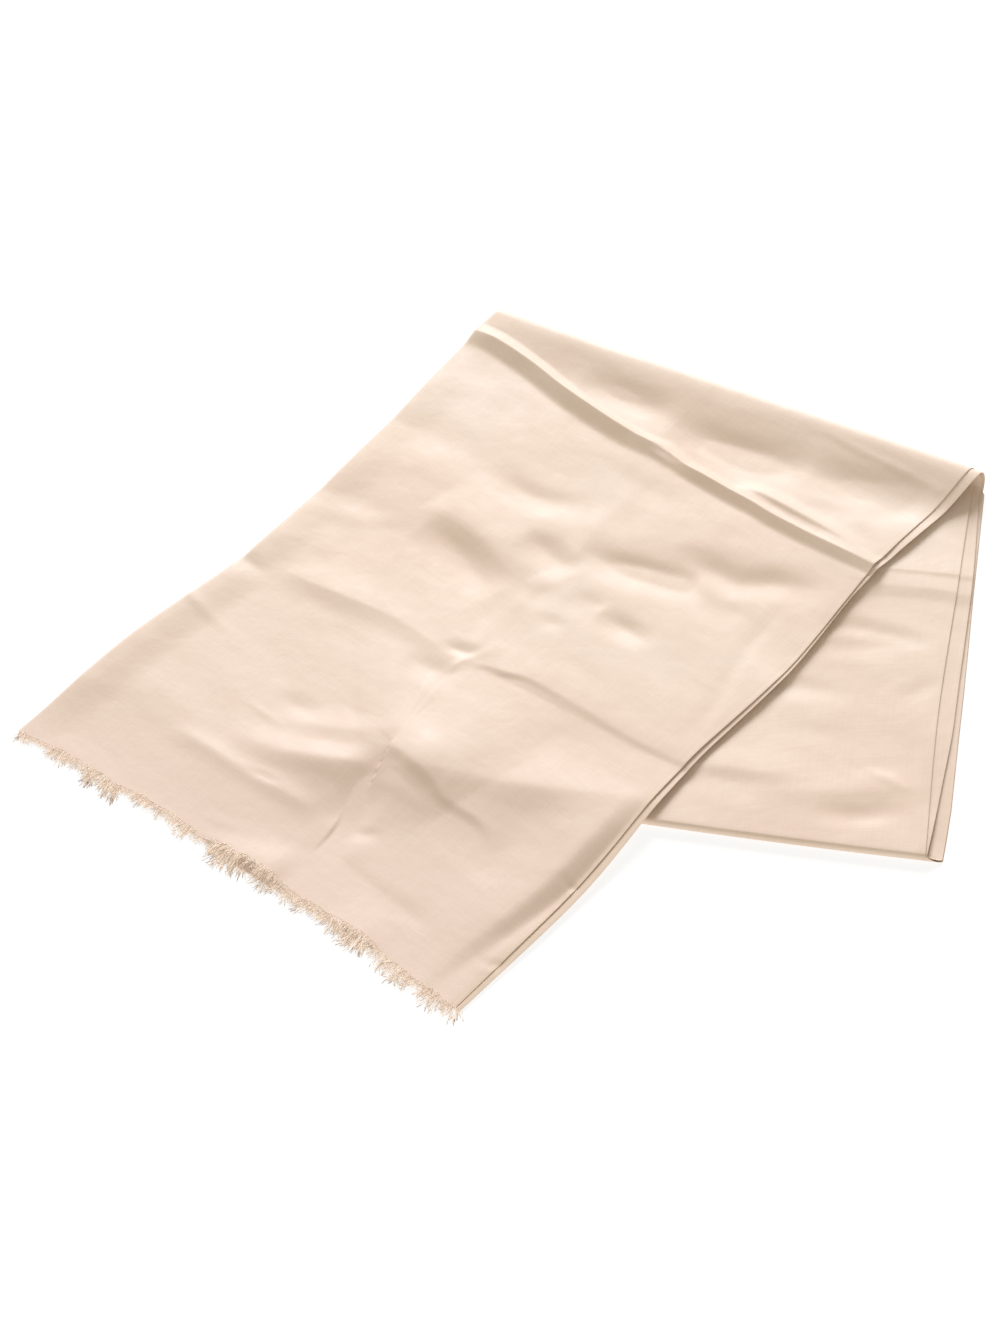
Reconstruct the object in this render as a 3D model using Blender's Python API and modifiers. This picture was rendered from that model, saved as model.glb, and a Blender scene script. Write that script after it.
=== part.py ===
# Silk shawl, folded in four and turned over on itself, lying flat.
#
# The cloth is 71 x 180 cm. It is folded in half lengthwise (soft fold on the left, open
# hemmed edges on the right), in half crosswise, and then turned over once more on a slant.
# That last fold lies along X at the back. From it the upper leg runs forwards to the left
# and ends in the frayed fringe, and the lower leg runs forwards to the right under it and
# ends in the crosswise middle fold. Z = 0 is the surface it lies on, +Z is up.
#
# Lengths in the tables are centimetres in plan and millimetres in height.

import math
import random

import bmesh
import bpy
import numpy as np

CM = 0.01
MM = 0.001

# Thicknesses of the stack, from the top down.
LAYER = 1.1 * MM            # one layer that shows, with the air in its weave
GAP = 0.3 * MM              # between pieces that lie on each other
HIDDEN = 1.5 * MM           # the two layers of the hidden half
UNDER = HIDDEN + GAP + LAYER    # all that lies under a top layer
STACK = LAYER + GAP + UNDER     # one whole leg, four layers
LAP_CLEARANCE = 0.5 * MM    # more air where the upper leg bends over the lower one
BEND_GAP = 0.8 * MM         # between the end of a stack and the layer that bends round it

# The fold at the back is a soft roll, slack at the right and pressed flatter at the left.
ROLL_LEFT_X = -17.9 * CM
ROLL_RIGHT_X = 18.8 * CM
ROLL_LEFT_RADIUS = 7.0 * MM
ROLL_RIGHT_RADIUS = 9.5 * MM
ROLL_LEFT_Y = 27.77 * CM
ROLL_RIGHT_Y = 27.22 * CM
ROLL_SLANT = 0.24           # sideways run of the cloth for each length round the roll
ROLL_SHARES = (-0.05, 1.1)  # it keeps its form this little past its two ends
ROLL_STEPS = 7
ROLL_SHOULDER = 45 * MM     # how far the upper leg takes to come down from the roll

# The crosswise middle fold at the end of the lower leg.
LOOP_RADIUS = 3.5 * MM
LOOP_STEPS = 5
LOOP_SHOULDER = 40 * MM

# The upper leg starts to bend down this far past the lower leg's edges, and how far it takes.
DRAPE_START = 10 * MM
DRAPE_LEFT_START = 16 * MM
DRAPE_LENGTH = 24 * MM

# Sections across the upper leg, from the fringe to the roll. Whole stations are the old
# crosswise creases. Bow is how far the middle of the line leans towards the fold.
#    station  left_x  left_y  right_x  right_y   bow
UPPER_SECTIONS = (
    (0.0, -28.65, -20.45, 6.50, -27.20, 0.9),
    (0.5, -26.05, -10.10, 9.40, -15.80, 0.3),
    (1.0, -22.70, 0.05, 11.60, -4.35, -0.5),
    (1.5, -20.30, 12.90, 14.40, 6.10, -0.5),
    (2.0, -18.45, 25.40, 16.05, 16.45, -0.5),
    (3.0, -17.90, 27.77, 18.80, 27.22, 0.0),
)
UPPER_ROWS = (16, 13, 7)    # rows of faces between whole stations
ROW_CROWDING = 0.45         # how much closer the rows stand beside a crosswise crease
# How far the layers under the top one stand out past its right edge, and past its end.
#    station  at_right        share across  at_end
UPPER_RIGHT_STEP = ((0, 0.40), (0.5, 0.75), (1, 0.45), (1.5, 0.40), (2, 0.60), (3, 0.90))
UPPER_END_STEP = ((0, 0.10), (0.3, 0.30), (0.5, 0.80), (0.6, 0.80), (0.75, 0.40), (1, 0.50))

# Sections across the lower leg, from the roll to the middle fold.
#    station  left_x  left_y  right_x  right_y   bow  past_top_layer
LOWER_SECTIONS = (
    (0.0, -17.20, 27.77, 19.30, 27.22, 0.0, 0.9),
    (1.0, -12.30, 8.40, 21.65, 17.90, 0.0, 1.1),
    (1.5, -9.40, -2.70, 24.40, 6.80, -0.1, 1.5),
    (2.0, -6.40, -13.90, 27.75, -4.45, -0.35, 1.1),
)
LOWER_ROWS = (6, 10)

# Lines of faces across each leg, centimetres from the left edge.
LEG_WIDTH = 35.5
UPPER_COLUMNS = (0, 0.08, 0.25, 0.6, 1.2, 2.2, 3.8, 6, 8.2, 10.4, 12.6, 14.6, 16.4, 18.2,
                 20.2, 22.4, 24.6, 26.8, 29, 31, 32.8, 34.2, 35.5)
LOWER_COLUMNS = (0, 5, 10, 14, 17, 20, 23, 25.5, 28, 30, 32, 33.8, 35.5)

# Folds and creases. Each runs along its path; a ridge has a height over 0, a trough one
# under 0, and it fades out over the given widths to the left and right of the path.
#    name, path, height, left width, right width (millimetres)
UPPER_CREASES = (
    ("first_ridge", ((-25.5, 0.2), (-14, -1.9), (-3.5, -2.9)), 2.6, 20, 14),
    ("first_trough", ((-7.5, -2.2), (0, -3.2), (15.0, -5.0)), -1.9, 14, 16),
    ("second_ridge", ((-24, 27.2), (-9.8, 22.7), (-0.5, 20.1), (20, 15.4)), 4.2, 26, 12),
    ("length_trough", ((-7.1, -26.5), (-5.9, -18.8), (-6.2, -13.5)), -2.0, 12, 14),
    ("length_ridge", ((-6.6, -14.5), (-6.0, -7.0), (-5.5, -1.5)), 1.8, 14, 14),
    ("over_lower_crease", ((-11, 5.9), (-3.7, 8.9), (6.6, 12.2), (14.2, 14.4)), 1.8, 24, 18),
    ("edge_trough", ((12.6, -7.0), (9.9, -12.2), (7.9, -15.8), (4.6, -27.0)), -2.1, 18, 12),
    ("end_trough", ((-7.0, -20.5), (3.6, -23.2)), -1.3, 14, 14),
    ("left_trough", ((-21.0, -15.3), (-13.3, -17.7), (-7.0, -19.2)), -1.2, 14, 14),
)
LOWER_CREASES = (
    ("third_ridge", ((15.9, 15.9), (19.5, 17.0), (25.5, 18.8)), 2.3, 10, 13),
    ("lower_trough", ((11.0, -4.8), (20.0, -2.6), (29.0, -1.0)), -1.5, 18, 18),
)
CREASE_FADE = 0.2           # share of a crease's length in which each end fades
THINNEST_UNDER = 0.5 * MM
STEP_SHARE = 0.45           # share of the hidden layers' thickness taken by their top one

# The soft lengthwise fold along the upper leg's left edge.
LEFT_ROUND = 6 * MM
LEFT_EDGE_HEIGHT = 0.8 * MM
LEFT_BULGE = 1.4 * MM
LEFT_BULGE_WIDTH = 32 * MM

# The top layer's end stands off the layers under it beside the lengthwise crease.
LIFT_HEIGHT = 2.8 * MM
LIFT_SHARES = (0.34, 0.56, 0.63)    # starts, highest, ends: shares across the leg
LIFT_REACH = 0.16                   # in stations from the fringe

# Fringe: tapering locks of frayed threads on a narrow strip.
STRIP_DEPTH = 1.5 * MM
STRIP_HEIGHT = 0.9 * MM
STRIP_SUNK = 0.1 * MM       # its top lies this far under the cloth's
STRIP_SHARES = (0.004, 0.996)   # where it starts and ends along the cloth's edge
LOCK_LEAN = 0.8 * MM
LOCK_TAPER = 0.3            # size of a lock's tip against its root
#    name, locks, shortest, longest, lowest tip step, highest tip step (millimetres)
TOP_FRINGE = ("upper_leg_top_fringe", 62, 2.2, 6.0, -0.1, 0.9)
UNDER_FRINGE = ("upper_leg_under_fringe", 54, 2.5, 7.0, 0.0, 0.5)
FLOOR_CLEARANCE = 0.45 * MM

SILK_COLOURS = {
    "upper_leg_top_layer": (0.86, 0.73, 0.61),
    "upper_leg_under_layers": (0.82, 0.68, 0.55),
    "lower_leg_top_layer": (0.84, 0.70, 0.58),
    "lower_leg_under_layers": (0.80, 0.66, 0.53),
    "upper_leg_top_fringe": (0.93, 0.88, 0.80),
    "upper_leg_under_fringe": (0.90, 0.84, 0.75),
}
SILK_ROUGHNESS = 0.45


# ---- curves and profiles -----------------------------------------------------------------

def soft_step(t):
    t = np.clip(t, 0.0, 1.0)
    return t * t * (3 - 2 * t)


def smooth_through(stations, values, at):
    """Curve through the values that never overshoots between two of them."""
    stations, values = np.asarray(stations, float), np.asarray(values, float)
    slopes = np.diff(values) / np.diff(stations)
    tangents = np.concatenate(([slopes[0]], np.zeros(len(slopes) - 1), [slopes[-1]]))
    for i in range(1, len(slopes)):
        if slopes[i - 1] * slopes[i] > 0:
            tangents[i] = 2 / (1 / slopes[i - 1] + 1 / slopes[i])
    at = np.asarray(at, float)
    span = np.clip(np.searchsorted(stations, at, side="right") - 1, 0, len(slopes) - 1)
    width = stations[span + 1] - stations[span]
    t = (at - stations[span]) / width
    return ((2 * t**3 - 3 * t**2 + 1) * values[span]
            + (t**3 - 2 * t**2 + t) * width * tangents[span]
            + (3 * t**2 - 2 * t**3) * values[span + 1]
            + (t**3 - t**2) * width * tangents[span + 1])


def crease_height(x, y, path, height, left_width, right_width):
    """Height that one crease adds at plan points x, y, all in metres."""
    path = np.array(path) * CM
    lengths = np.linalg.norm(np.diff(path, axis=0), axis=1)
    nearest = np.full(np.shape(x), 1e9)
    side, along = np.zeros(np.shape(x)), np.zeros(np.shape(x))
    for k, (start, step, length) in enumerate(zip(path, np.diff(path, axis=0), lengths)):
        t = ((x - start[0]) * step[0] + (y - start[1]) * step[1]) / length**2
        held = np.clip(t, 0, 1)
        away = np.hypot(x - start[0] - held * step[0], y - start[1] - held * step[1])
        left_of = step[0] * (y - start[1]) - step[1] * (x - start[0])
        closer = away < nearest
        nearest = np.where(closer, away, nearest)
        side = np.where(closer, left_of, side)
        along = np.where(closer, (lengths[:k].sum() + held * length) / lengths.sum(), along)
    width = np.where(side > 0, left_width, right_width) * MM
    ends = soft_step(np.minimum(along, 1 - along) / CREASE_FADE)
    return height * MM * ends * soft_step(1 - nearest / width)


def crease_sum(x, y, creases):
    return sum(crease_height(x, y, *row[1:]) for row in creases)


def beyond_line(x, y, start, end):
    """Distance of plan points to the left of the line from start to end (centimetres)."""
    (ax, ay), (bx, by) = np.array(start) * CM, np.array(end) * CM
    return ((bx - ax) * (y - ay) - (by - ay) * (x - ax)) / math.hypot(bx - ax, by - ay)


# ---- shape of the roll and the two legs --------------------------------------------------

def roll_share(x):
    return np.clip((x - ROLL_LEFT_X) / (ROLL_RIGHT_X - ROLL_LEFT_X), *ROLL_SHARES)


def roll_radius(x):
    return ROLL_LEFT_RADIUS + (ROLL_RIGHT_RADIUS - ROLL_LEFT_RADIUS) * roll_share(x)


def roll_centre_y(x):
    return ROLL_LEFT_Y + (ROLL_RIGHT_Y - ROLL_LEFT_Y) * roll_share(x)


def stations_for(rows):
    """Station of each line of vertices, with rows[k] faces between stations k and k + 1."""
    spans = []
    for k, count in enumerate(rows):
        share = np.arange(count) / count
        spans.append(k + share - ROW_CROWDING * np.sin(2 * math.pi * share) / (2 * math.pi))
    return np.concatenate(spans + [[len(rows)]])


def ruled_plan(sections, stations, columns):
    """Plan points in metres on a net of stations (rows) and shares across (columns)."""
    table = np.array(sections)
    left_x, left_y, right_x, right_y, bow = (
        smooth_through(table[:, 0], table[:, k], stations)[:, None] for k in range(1, 6))
    x = left_x + (right_x - left_x) * columns
    y = left_y + (right_y - left_y) * columns + bow * 4 * columns * (1 - columns)
    return x * CM, y * CM


def lower_leg_outside(x, y):
    """Distance outside the lower leg's left and front edges, less than 0 within it."""
    back_left, front_left = LOWER_SECTIONS[0][1:3], LOWER_SECTIONS[-1][1:3]
    front_right = LOWER_SECTIONS[-1][3:5]
    past_left = beyond_line(x, y, front_left, back_left)
    past_front = -beyond_line(x, y, front_left, front_right) - LOOP_RADIUS
    return past_left, past_front


def lower_leg_height(x, y):
    """Top of the lower leg without its creases: it swells towards the middle fold."""
    past_front = lower_leg_outside(x, y)[1]
    swell = soft_step(1 + (past_front + LOOP_RADIUS) / LOOP_SHOULDER)
    return STACK + (2 * LOOP_RADIUS - STACK) * swell


def upper_leg_underside(x, y):
    """What the upper leg rests on: the lower leg, then the floor past its edges."""
    past_left, past_front = lower_leg_outside(x, y)
    past = np.maximum(past_left - DRAPE_LEFT_START, past_front - DRAPE_START)
    over = soft_step(1 - past / DRAPE_LENGTH)
    return over * (lower_leg_height(x, y) + GAP + LAP_CLEARANCE)


def towards_roll(x, y):
    return soft_step(1 - (roll_centre_y(x) - y) / ROLL_SHOULDER)


def left_edge_drop(distance, stack):
    """How far the top layer turns down beside the soft fold on its left edge."""
    t = np.clip(1 - distance / LEFT_ROUND, 0, 1)
    return (stack - LEFT_EDGE_HEIGHT) * (1 - np.sqrt(1 - t * t))


def surface_normals(points):
    """Unit normals of a net of points, rows running back and columns to the right."""
    down_rows, along_columns = np.gradient(points, axis=0), np.gradient(points, axis=1)
    normals = np.cross(along_columns, down_rows)
    return normals / np.linalg.norm(normals, axis=2, keepdims=True)


def upper_leg_surface(columns):
    """Outer face of the upper leg's top layer, and the underside of the leg below it."""
    stations = stations_for(UPPER_ROWS)
    x, y = ruled_plan(UPPER_SECTIONS, stations, columns)
    rise = towards_roll(x, y)
    radius = roll_radius(x)
    stack = STACK + (LAYER + GAP + HIDDEN - STACK) * rise
    under = upper_leg_underside(x, y)
    under = under + (2 * radius - stack - under) * rise
    from_left = columns * LEG_WIDTH * CM
    bulge = LEFT_BULGE * soft_step(from_left / LEFT_ROUND)
    bulge = bulge * soft_step(1 - (from_left - LEFT_ROUND) / LEFT_BULGE_WIDTH)
    shaped = stack + (bulge + crease_sum(x, y, UPPER_CREASES)) * (1 - rise)
    shaped = np.maximum(shaped, LAYER + 2 * GAP + THINNEST_UNDER)
    z = under + shaped - left_edge_drop(from_left, shaped)
    return np.dstack((x, y, z)), np.dstack((x, y, under))


def round_roll(crest, columns):
    """Outer and inner face of the cloth round the roll, from its crest to the floor."""
    turn = np.linspace(0, math.pi, ROLL_STEPS + 1)[1:, None]
    crest_x = crest[None, :, 0]
    x = crest_x + ROLL_SLANT * roll_radius(crest_x) * turn
    radius, centre = roll_radius(x), roll_centre_y(x)
    shell = LAYER + GAP + HIDDEN
    drop = left_edge_drop(columns * LEG_WIDTH * CM, shell)
    faces = []
    for reach in (radius - drop, radius - shell):
        faces.append(np.dstack((x, centre + reach * np.sin(turn), radius + reach * np.cos(turn))))
    return faces


def upper_stations():
    """Stations of all rows of the upper leg; those round the roll keep its last one."""
    return np.concatenate((stations_for(UPPER_ROWS), np.full(ROLL_STEPS, len(UPPER_ROWS))))


def top_layer_lift(columns):
    start, peak, end = LIFT_SHARES
    across = np.where(columns < peak, soft_step((columns - start) / (peak - start)),
                      soft_step((end - columns) / (end - peak)))
    return LIFT_HEIGHT * across[None, :] * soft_step(1 - upper_stations() / LIFT_REACH)[:, None]


def layer_right_edge(upper, lower, reach):
    """Adds the open edge's steps: a layer half way out, then the one under it."""
    outward = upper[:, -1] - upper[:, -2]
    outward[:, 2] = 0
    outward /= np.linalg.norm(outward, axis=1, keepdims=True)
    edge_top, edge_bottom = upper[:, -1:], lower[:, -1:]
    for distance, sunk in ((0.5 * reach, 0.0), (0.5 * reach + GAP, STEP_SHARE), (reach, STEP_SHARE)):
        moved = outward[:, None] * distance[:, None, None]
        top = edge_top + (edge_bottom - edge_top) * sunk + moved
        upper = np.concatenate((upper, top), axis=1)
        lower = np.concatenate((lower, edge_bottom + moved), axis=1)
    return upper, lower


def layer_front_edge(upper, lower, reach):
    """The same steps past the first row of points."""
    turned = [points[::-1].swapaxes(0, 1) for points in (upper, lower)]
    return [points.swapaxes(0, 1)[::-1] for points in layer_right_edge(*turned, reach)]


def lower_leg_surface(columns):
    """Top face of the lower leg between the middle fold (first row) and the roll."""
    stations = stations_for(LOWER_ROWS)[::-1]
    x, y = ruled_plan(LOWER_SECTIONS, stations, columns)
    z = lower_leg_height(x, y) + crease_sum(x, y, LOWER_CREASES)
    z[0], z[-1] = 2 * LOOP_RADIUS, STACK
    return np.dstack((x, y, z))


def middle_fold(edge):
    """The loop from the floor round the front to the lower leg's first row of points."""
    line = edge[-1] - edge[0]
    forward = np.array((line[1], -line[0])) / math.hypot(line[0], line[1])
    turn = np.linspace(-math.pi / 2, math.pi / 2, LOOP_STEPS + 1)[:-1, None]
    reach = LOOP_RADIUS * np.cos(turn)
    x, y = edge[None, :, 0] + forward[0] * reach, edge[None, :, 1] + forward[1] * reach
    return np.dstack((x, y, np.broadcast_to(LOOP_RADIUS + LOOP_RADIUS * np.sin(turn), x.shape)))


def roll_lining(edge):
    """The lower leg's layer inside the roll, from the leg's last row up to the crest."""
    turn = np.linspace(math.pi, 0, ROLL_STEPS + 1)[1:, None]
    x = edge[None, :, 0] - ROLL_SLANT * roll_radius(edge[None, :, 0]) * (math.pi - turn)
    radius, centre = roll_radius(x), roll_centre_y(x)
    reach = radius - STACK
    return np.dstack((x, centre + reach * np.sin(turn), radius + reach * np.cos(turn)))


# ---- building the objects ----------------------------------------------------------------

def clear_scene():
    for thing in list(bpy.data.objects):
        bpy.data.objects.remove(thing, do_unlink=True)


def silk(name):
    material = bpy.data.materials.new(name)
    material.use_nodes = True
    shader = material.node_tree.nodes["Principled BSDF"]
    shader.inputs["Base Color"].default_value = (*SILK_COLOURS[name], 1)
    shader.inputs["Roughness"].default_value = SILK_ROUGHNESS
    shader.inputs["Metallic"].default_value = 0.0
    return material


def net(bm, points):
    """A grid primitive whose vertices lie on the given rows and columns of points."""
    rows, columns = points.shape[:2]
    bmesh.ops.create_grid(bm, x_segments=columns - 1, y_segments=rows - 1, size=1)
    place = bm.verts.layers.int.new("place")
    for vert in bm.verts:
        row = round((vert.co.y + 1) / 2 * (rows - 1))
        column = round((vert.co.x + 1) / 2 * (columns - 1))
        vert[place] = row * columns + column
        vert.co = points[row, column]
    return place


def add_object(name, bm, collection):
    mesh = bpy.data.meshes.new(name)
    bm.to_mesh(mesh)
    bm.free()
    mesh.shade_smooth()
    mesh.materials.append(silk(name))
    thing = bpy.data.objects.new(name, mesh)
    collection.objects.link(thing)
    return thing


def add_layer(name, points, collection):
    """One layer of cloth: an open surface with its thickness on the inner side."""
    bm = bmesh.new()
    net(bm, points)
    layer = add_object(name, bm, collection)
    wall = layer.modifiers.new("cloth", "SOLIDIFY")
    wall.thickness = LAYER
    wall.offset = -1
    return layer


def add_stack(name, upper, lower, collection):
    """Several layers as one rounded solid between two faces with the same rows."""
    bm = bmesh.new()
    place = net(bm, upper)
    copied = bmesh.ops.extrude_face_region(bm, geom=bm.faces[:])["geom"]
    flat = lower.reshape(-1, 3)
    for vert in copied:
        if isinstance(vert, bmesh.types.BMVert):
            vert.co = flat[vert[place]]
    bmesh.ops.recalc_face_normals(bm, faces=bm.faces[:])
    return add_object(name, bm, collection)


def fringe_strip(bm, edge, forward, top, cells):
    """A narrow closed strip in front of an edge. Returns its front faces, left to right."""
    share = np.linspace(0, 1, len(edge))
    at = np.linspace(*STRIP_SHARES, cells + 1)
    line = np.stack([np.interp(at, share, edge[:, k]) for k in (0, 1)], axis=1)
    heights = np.interp(at, share, top)
    front_edge, back_edge = (np.column_stack((line + forward * depth, heights))
                             for depth in (GAP + STRIP_DEPTH, GAP))
    upper = np.stack((front_edge, back_edge))
    place = net(bm, upper)
    copied = bmesh.ops.extrude_face_region(bm, geom=bm.faces[:])["geom"]
    for vert in copied:
        if isinstance(vert, bmesh.types.BMVert):
            vert.co.z -= STRIP_HEIGHT
    bmesh.ops.recalc_face_normals(bm, faces=bm.faces[:])
    front = [face for face in bm.faces if all(vert[place] <= cells for vert in face.verts)
             and abs(face.normal.z) < 0.5]
    return sorted(front, key=lambda face: face.calc_center_median().x)


def add_fringe(spec, edge, forward, top, collection, seed):
    """Frayed locks along an edge: every other cell of the strip grows one lock."""
    name, locks, shortest, longest, low_tip, high_tip = spec
    chance = random.Random(seed)
    bm = bmesh.new()
    cells = fringe_strip(bm, edge, forward, top, 2 * locks + 1)
    grown = bmesh.ops.extrude_discrete_faces(bm, faces=cells[1::2])["faces"]
    sideways = np.array((-forward[1], forward[0]))
    for face in sorted(grown, key=lambda face: face.calc_center_median().x):
        root = np.array(face.calc_center_median())
        length = chance.uniform(shortest, longest) * MM
        lean = chance.uniform(-1, 1) * LOCK_LEAN
        rise = chance.uniform(low_tip, high_tip) * MM
        height = max(root[2] + rise, FLOOR_CLEARANCE + LOCK_TAPER * STRIP_HEIGHT)
        tip = np.array((*(root[:2] + forward * length + sideways * lean), height))
        for vert in face.verts:
            vert.co = tip + (np.array(vert.co) - root) * LOCK_TAPER
    bmesh.ops.recalc_face_normals(bm, faces=bm.faces[:])
    return add_object(name, bm, collection)


def build_shawl():
    clear_scene()
    shawl = bpy.data.collections.new("silk_shawl")
    bpy.context.scene.collection.children.link(shawl)

    # Upper leg: the top layer, then all that lies under it, made from the same points.
    columns = np.array(UPPER_COLUMNS) / LEG_WIDTH
    face, underside = upper_leg_surface(columns)
    outer, inner = round_roll(face[-1], columns)
    sheet = np.concatenate((face, outer))
    floor_side = np.concatenate((underside, inner))
    lifted = sheet.copy()
    lifted[..., 2] += top_layer_lift(columns)
    add_layer("upper_leg_top_layer", lifted, shawl)

    core = sheet - surface_normals(sheet) * (LAYER + GAP)
    base = floor_side.copy()
    base[: len(face), :, :2] = core[: len(face), :, :2]
    right = smooth_through(*zip(*UPPER_RIGHT_STEP), upper_stations()) * CM
    core, base = layer_right_edge(core, base, right)
    across = np.concatenate((columns, np.ones(core.shape[1] - len(columns))))
    core, base = layer_front_edge(core, base, smooth_through(*zip(*UPPER_END_STEP), across) * CM)
    add_stack("upper_leg_under_layers", core, base, shawl)
    under_end = core[0]

    # Lower leg: the layer that shows runs from the floor round the middle fold, over the
    # leg and up inside the roll.
    columns = np.array(LOWER_COLUMNS) / LEG_WIDTH
    panel = lower_leg_surface(columns)
    loop, lining = middle_fold(panel[0]), roll_lining(panel[-1])
    add_layer("lower_leg_top_layer", np.concatenate((loop, panel, lining)), shawl)

    core = panel - surface_normals(panel) * (LAYER + GAP)
    core[:, :, :2] = panel[:, :, :2]
    step_back = (core[1] - core[0]) / np.linalg.norm(core[1] - core[0], axis=1)[:, None]
    core[0, :, :2] += (step_back * BEND_GAP)[:, :2]
    core[-1, :, 1] -= BEND_GAP
    base = core.copy()
    base[..., 2] = 0
    past = smooth_through(*zip(*((row[0], row[6]) for row in LOWER_SECTIONS)),
                          stations_for(LOWER_ROWS)[::-1]) * CM
    core, base = layer_right_edge(core, base, past)
    add_stack("lower_leg_under_layers", core, base, shawl)

    # Fringe along the end of the upper leg.
    run = lifted[0, -1, :2] - lifted[0, 0, :2]
    forward = np.array((run[1], -run[0])) / np.linalg.norm(run)
    top_end = lifted[0, 2:]
    add_fringe(TOP_FRINGE, top_end, forward, top_end[:, 2] - STRIP_SUNK, shawl, seed=7)
    low = np.full(len(under_end) - 1, FLOOR_CLEARANCE + STRIP_HEIGHT)
    add_fringe(UNDER_FRINGE, under_end[1:], forward, low, shawl, seed=11)


build_shawl()
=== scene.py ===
import math

import bpy
import numpy as np
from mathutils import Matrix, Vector


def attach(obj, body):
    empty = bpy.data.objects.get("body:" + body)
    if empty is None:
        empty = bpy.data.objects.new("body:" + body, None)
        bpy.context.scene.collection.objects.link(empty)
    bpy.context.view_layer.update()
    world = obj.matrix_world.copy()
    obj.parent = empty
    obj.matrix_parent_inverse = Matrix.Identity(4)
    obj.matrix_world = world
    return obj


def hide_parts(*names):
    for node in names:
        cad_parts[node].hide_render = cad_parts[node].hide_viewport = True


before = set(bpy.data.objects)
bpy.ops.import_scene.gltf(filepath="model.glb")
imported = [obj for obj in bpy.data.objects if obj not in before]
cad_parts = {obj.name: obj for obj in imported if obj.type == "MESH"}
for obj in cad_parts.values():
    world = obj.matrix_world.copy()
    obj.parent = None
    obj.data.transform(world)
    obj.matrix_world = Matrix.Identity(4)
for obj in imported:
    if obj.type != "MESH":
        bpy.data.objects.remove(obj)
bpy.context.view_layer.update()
print("frame loaded:", ", ".join(sorted(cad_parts)))

cm, mm = 0.01, 0.001


# camera at the photograph's angle
cameraPlace = {
    "aim": (-0.031, -0.0175, 0.0),  # point on the floor at the middle of the picture
    "azimuth": 26,                  # degrees from +Y towards -X
    "elevation": 49,
    "distance": 1.98,
    "sensor": 36,                   # along the picture's long side
    "lens": 81,
}


def newObject(name, data):
    made = bpy.data.objects.new(name, data)
    bpy.context.scene.collection.objects.link(made)
    return made


def makeCamera():
    data = bpy.data.cameras.new("camera")
    data.sensor_width = cameraPlace["sensor"]
    data.lens = cameraPlace["lens"]
    camera = newObject("camera", data)
    turn, rise = (math.radians(cameraPlace[key]) for key in ("azimuth", "elevation"))
    back = Vector((math.sin(turn) * math.cos(rise), -math.cos(turn) * math.cos(rise), math.sin(rise)))
    camera.location = Vector(cameraPlace["aim"]) + back * cameraPlace["distance"]
    camera.rotation_mode = "QUATERNION"
    camera.rotation_quaternion = (-back).to_track_quat("-Z", "Y")
    bpy.context.scene.camera = camera


makeCamera()
print("camera placed")


# smooth curves, soft noise and single creases
hillGrid = 128              # random heights along each side of the noise, which repeats past it
stepSamples = 4000          # places at which uneven spacing is worked out
creaseShape = {
    "reach": 2.4,           # of its wider side, past which a crease adds nothing
    "foot": 0.2,            # how softly its faces meet the flat cloth
}


def softStep(t):
    t = np.clip(t, 0, 1)
    return t * t * (3 - 2 * t)


def smoothThrough(table, column, at):  # curve through one column of a table, by its first column
    stops, values = (np.array([row[k] for row in table], float) for k in (0, column))
    slopes = np.diff(values) / np.diff(stops)
    tangents = np.concatenate(([slopes[0]], np.zeros(len(slopes) - 1), [slopes[-1]]))
    for i in range(1, len(slopes)):
        if slopes[i - 1] * slopes[i] > 0:
            tangents[i] = 2 / (1 / slopes[i - 1] + 1 / slopes[i])
    span = np.clip(np.searchsorted(stops, at, side="right") - 1, 0, len(slopes) - 1)
    width = stops[span + 1] - stops[span]
    t = (at - stops[span]) / width
    return ((2 * t**3 - 3 * t**2 + 1) * values[span] + (t**3 - 2 * t**2 + t) * width * tangents[span]
            + (3 * t**2 - 2 * t**3) * values[span + 1] + (t**3 - t**2) * width * tangents[span + 1])


def roundedPath(points, steps=5):  # rows of numbers, rounded through each row
    p = np.array(points, float)
    padded = np.vstack((2 * p[0] - p[1], p, 2 * p[-1] - p[-2]))
    t = np.arange(steps)[:, None] / steps
    spans = [(2 * b + (c - a) * t + (2 * a - 5 * b + 4 * c - d) * t**2
              + (3 * b - a - 3 * c + d) * t**3) / 2
             for a, b, c, d in zip(padded, padded[1:], padded[2:], padded[3:])]
    return np.vstack(spans + [p[-1:]])


def hills(x, y, size, seed):  # soft random hills between -1 and 1, size in metres
    grid = np.random.default_rng(seed).uniform(-1, 1, (hillGrid, hillGrid))
    u, v = x / size + hillGrid / 2, y / size + hillGrid / 2
    i, j = np.floor(u).astype(int), np.floor(v).astype(int)
    s, t = ((f**3) * (f * (6 * f - 15) + 10) for f in (u - i, v - j))
    i, j = i % (hillGrid - 1), j % (hillGrid - 1)
    return ((grid[i, j] * (1 - s) + grid[i + 1, j] * s) * (1 - t)
            + (grid[i, j + 1] * (1 - s) + grid[i + 1, j + 1] * s) * t)


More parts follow.
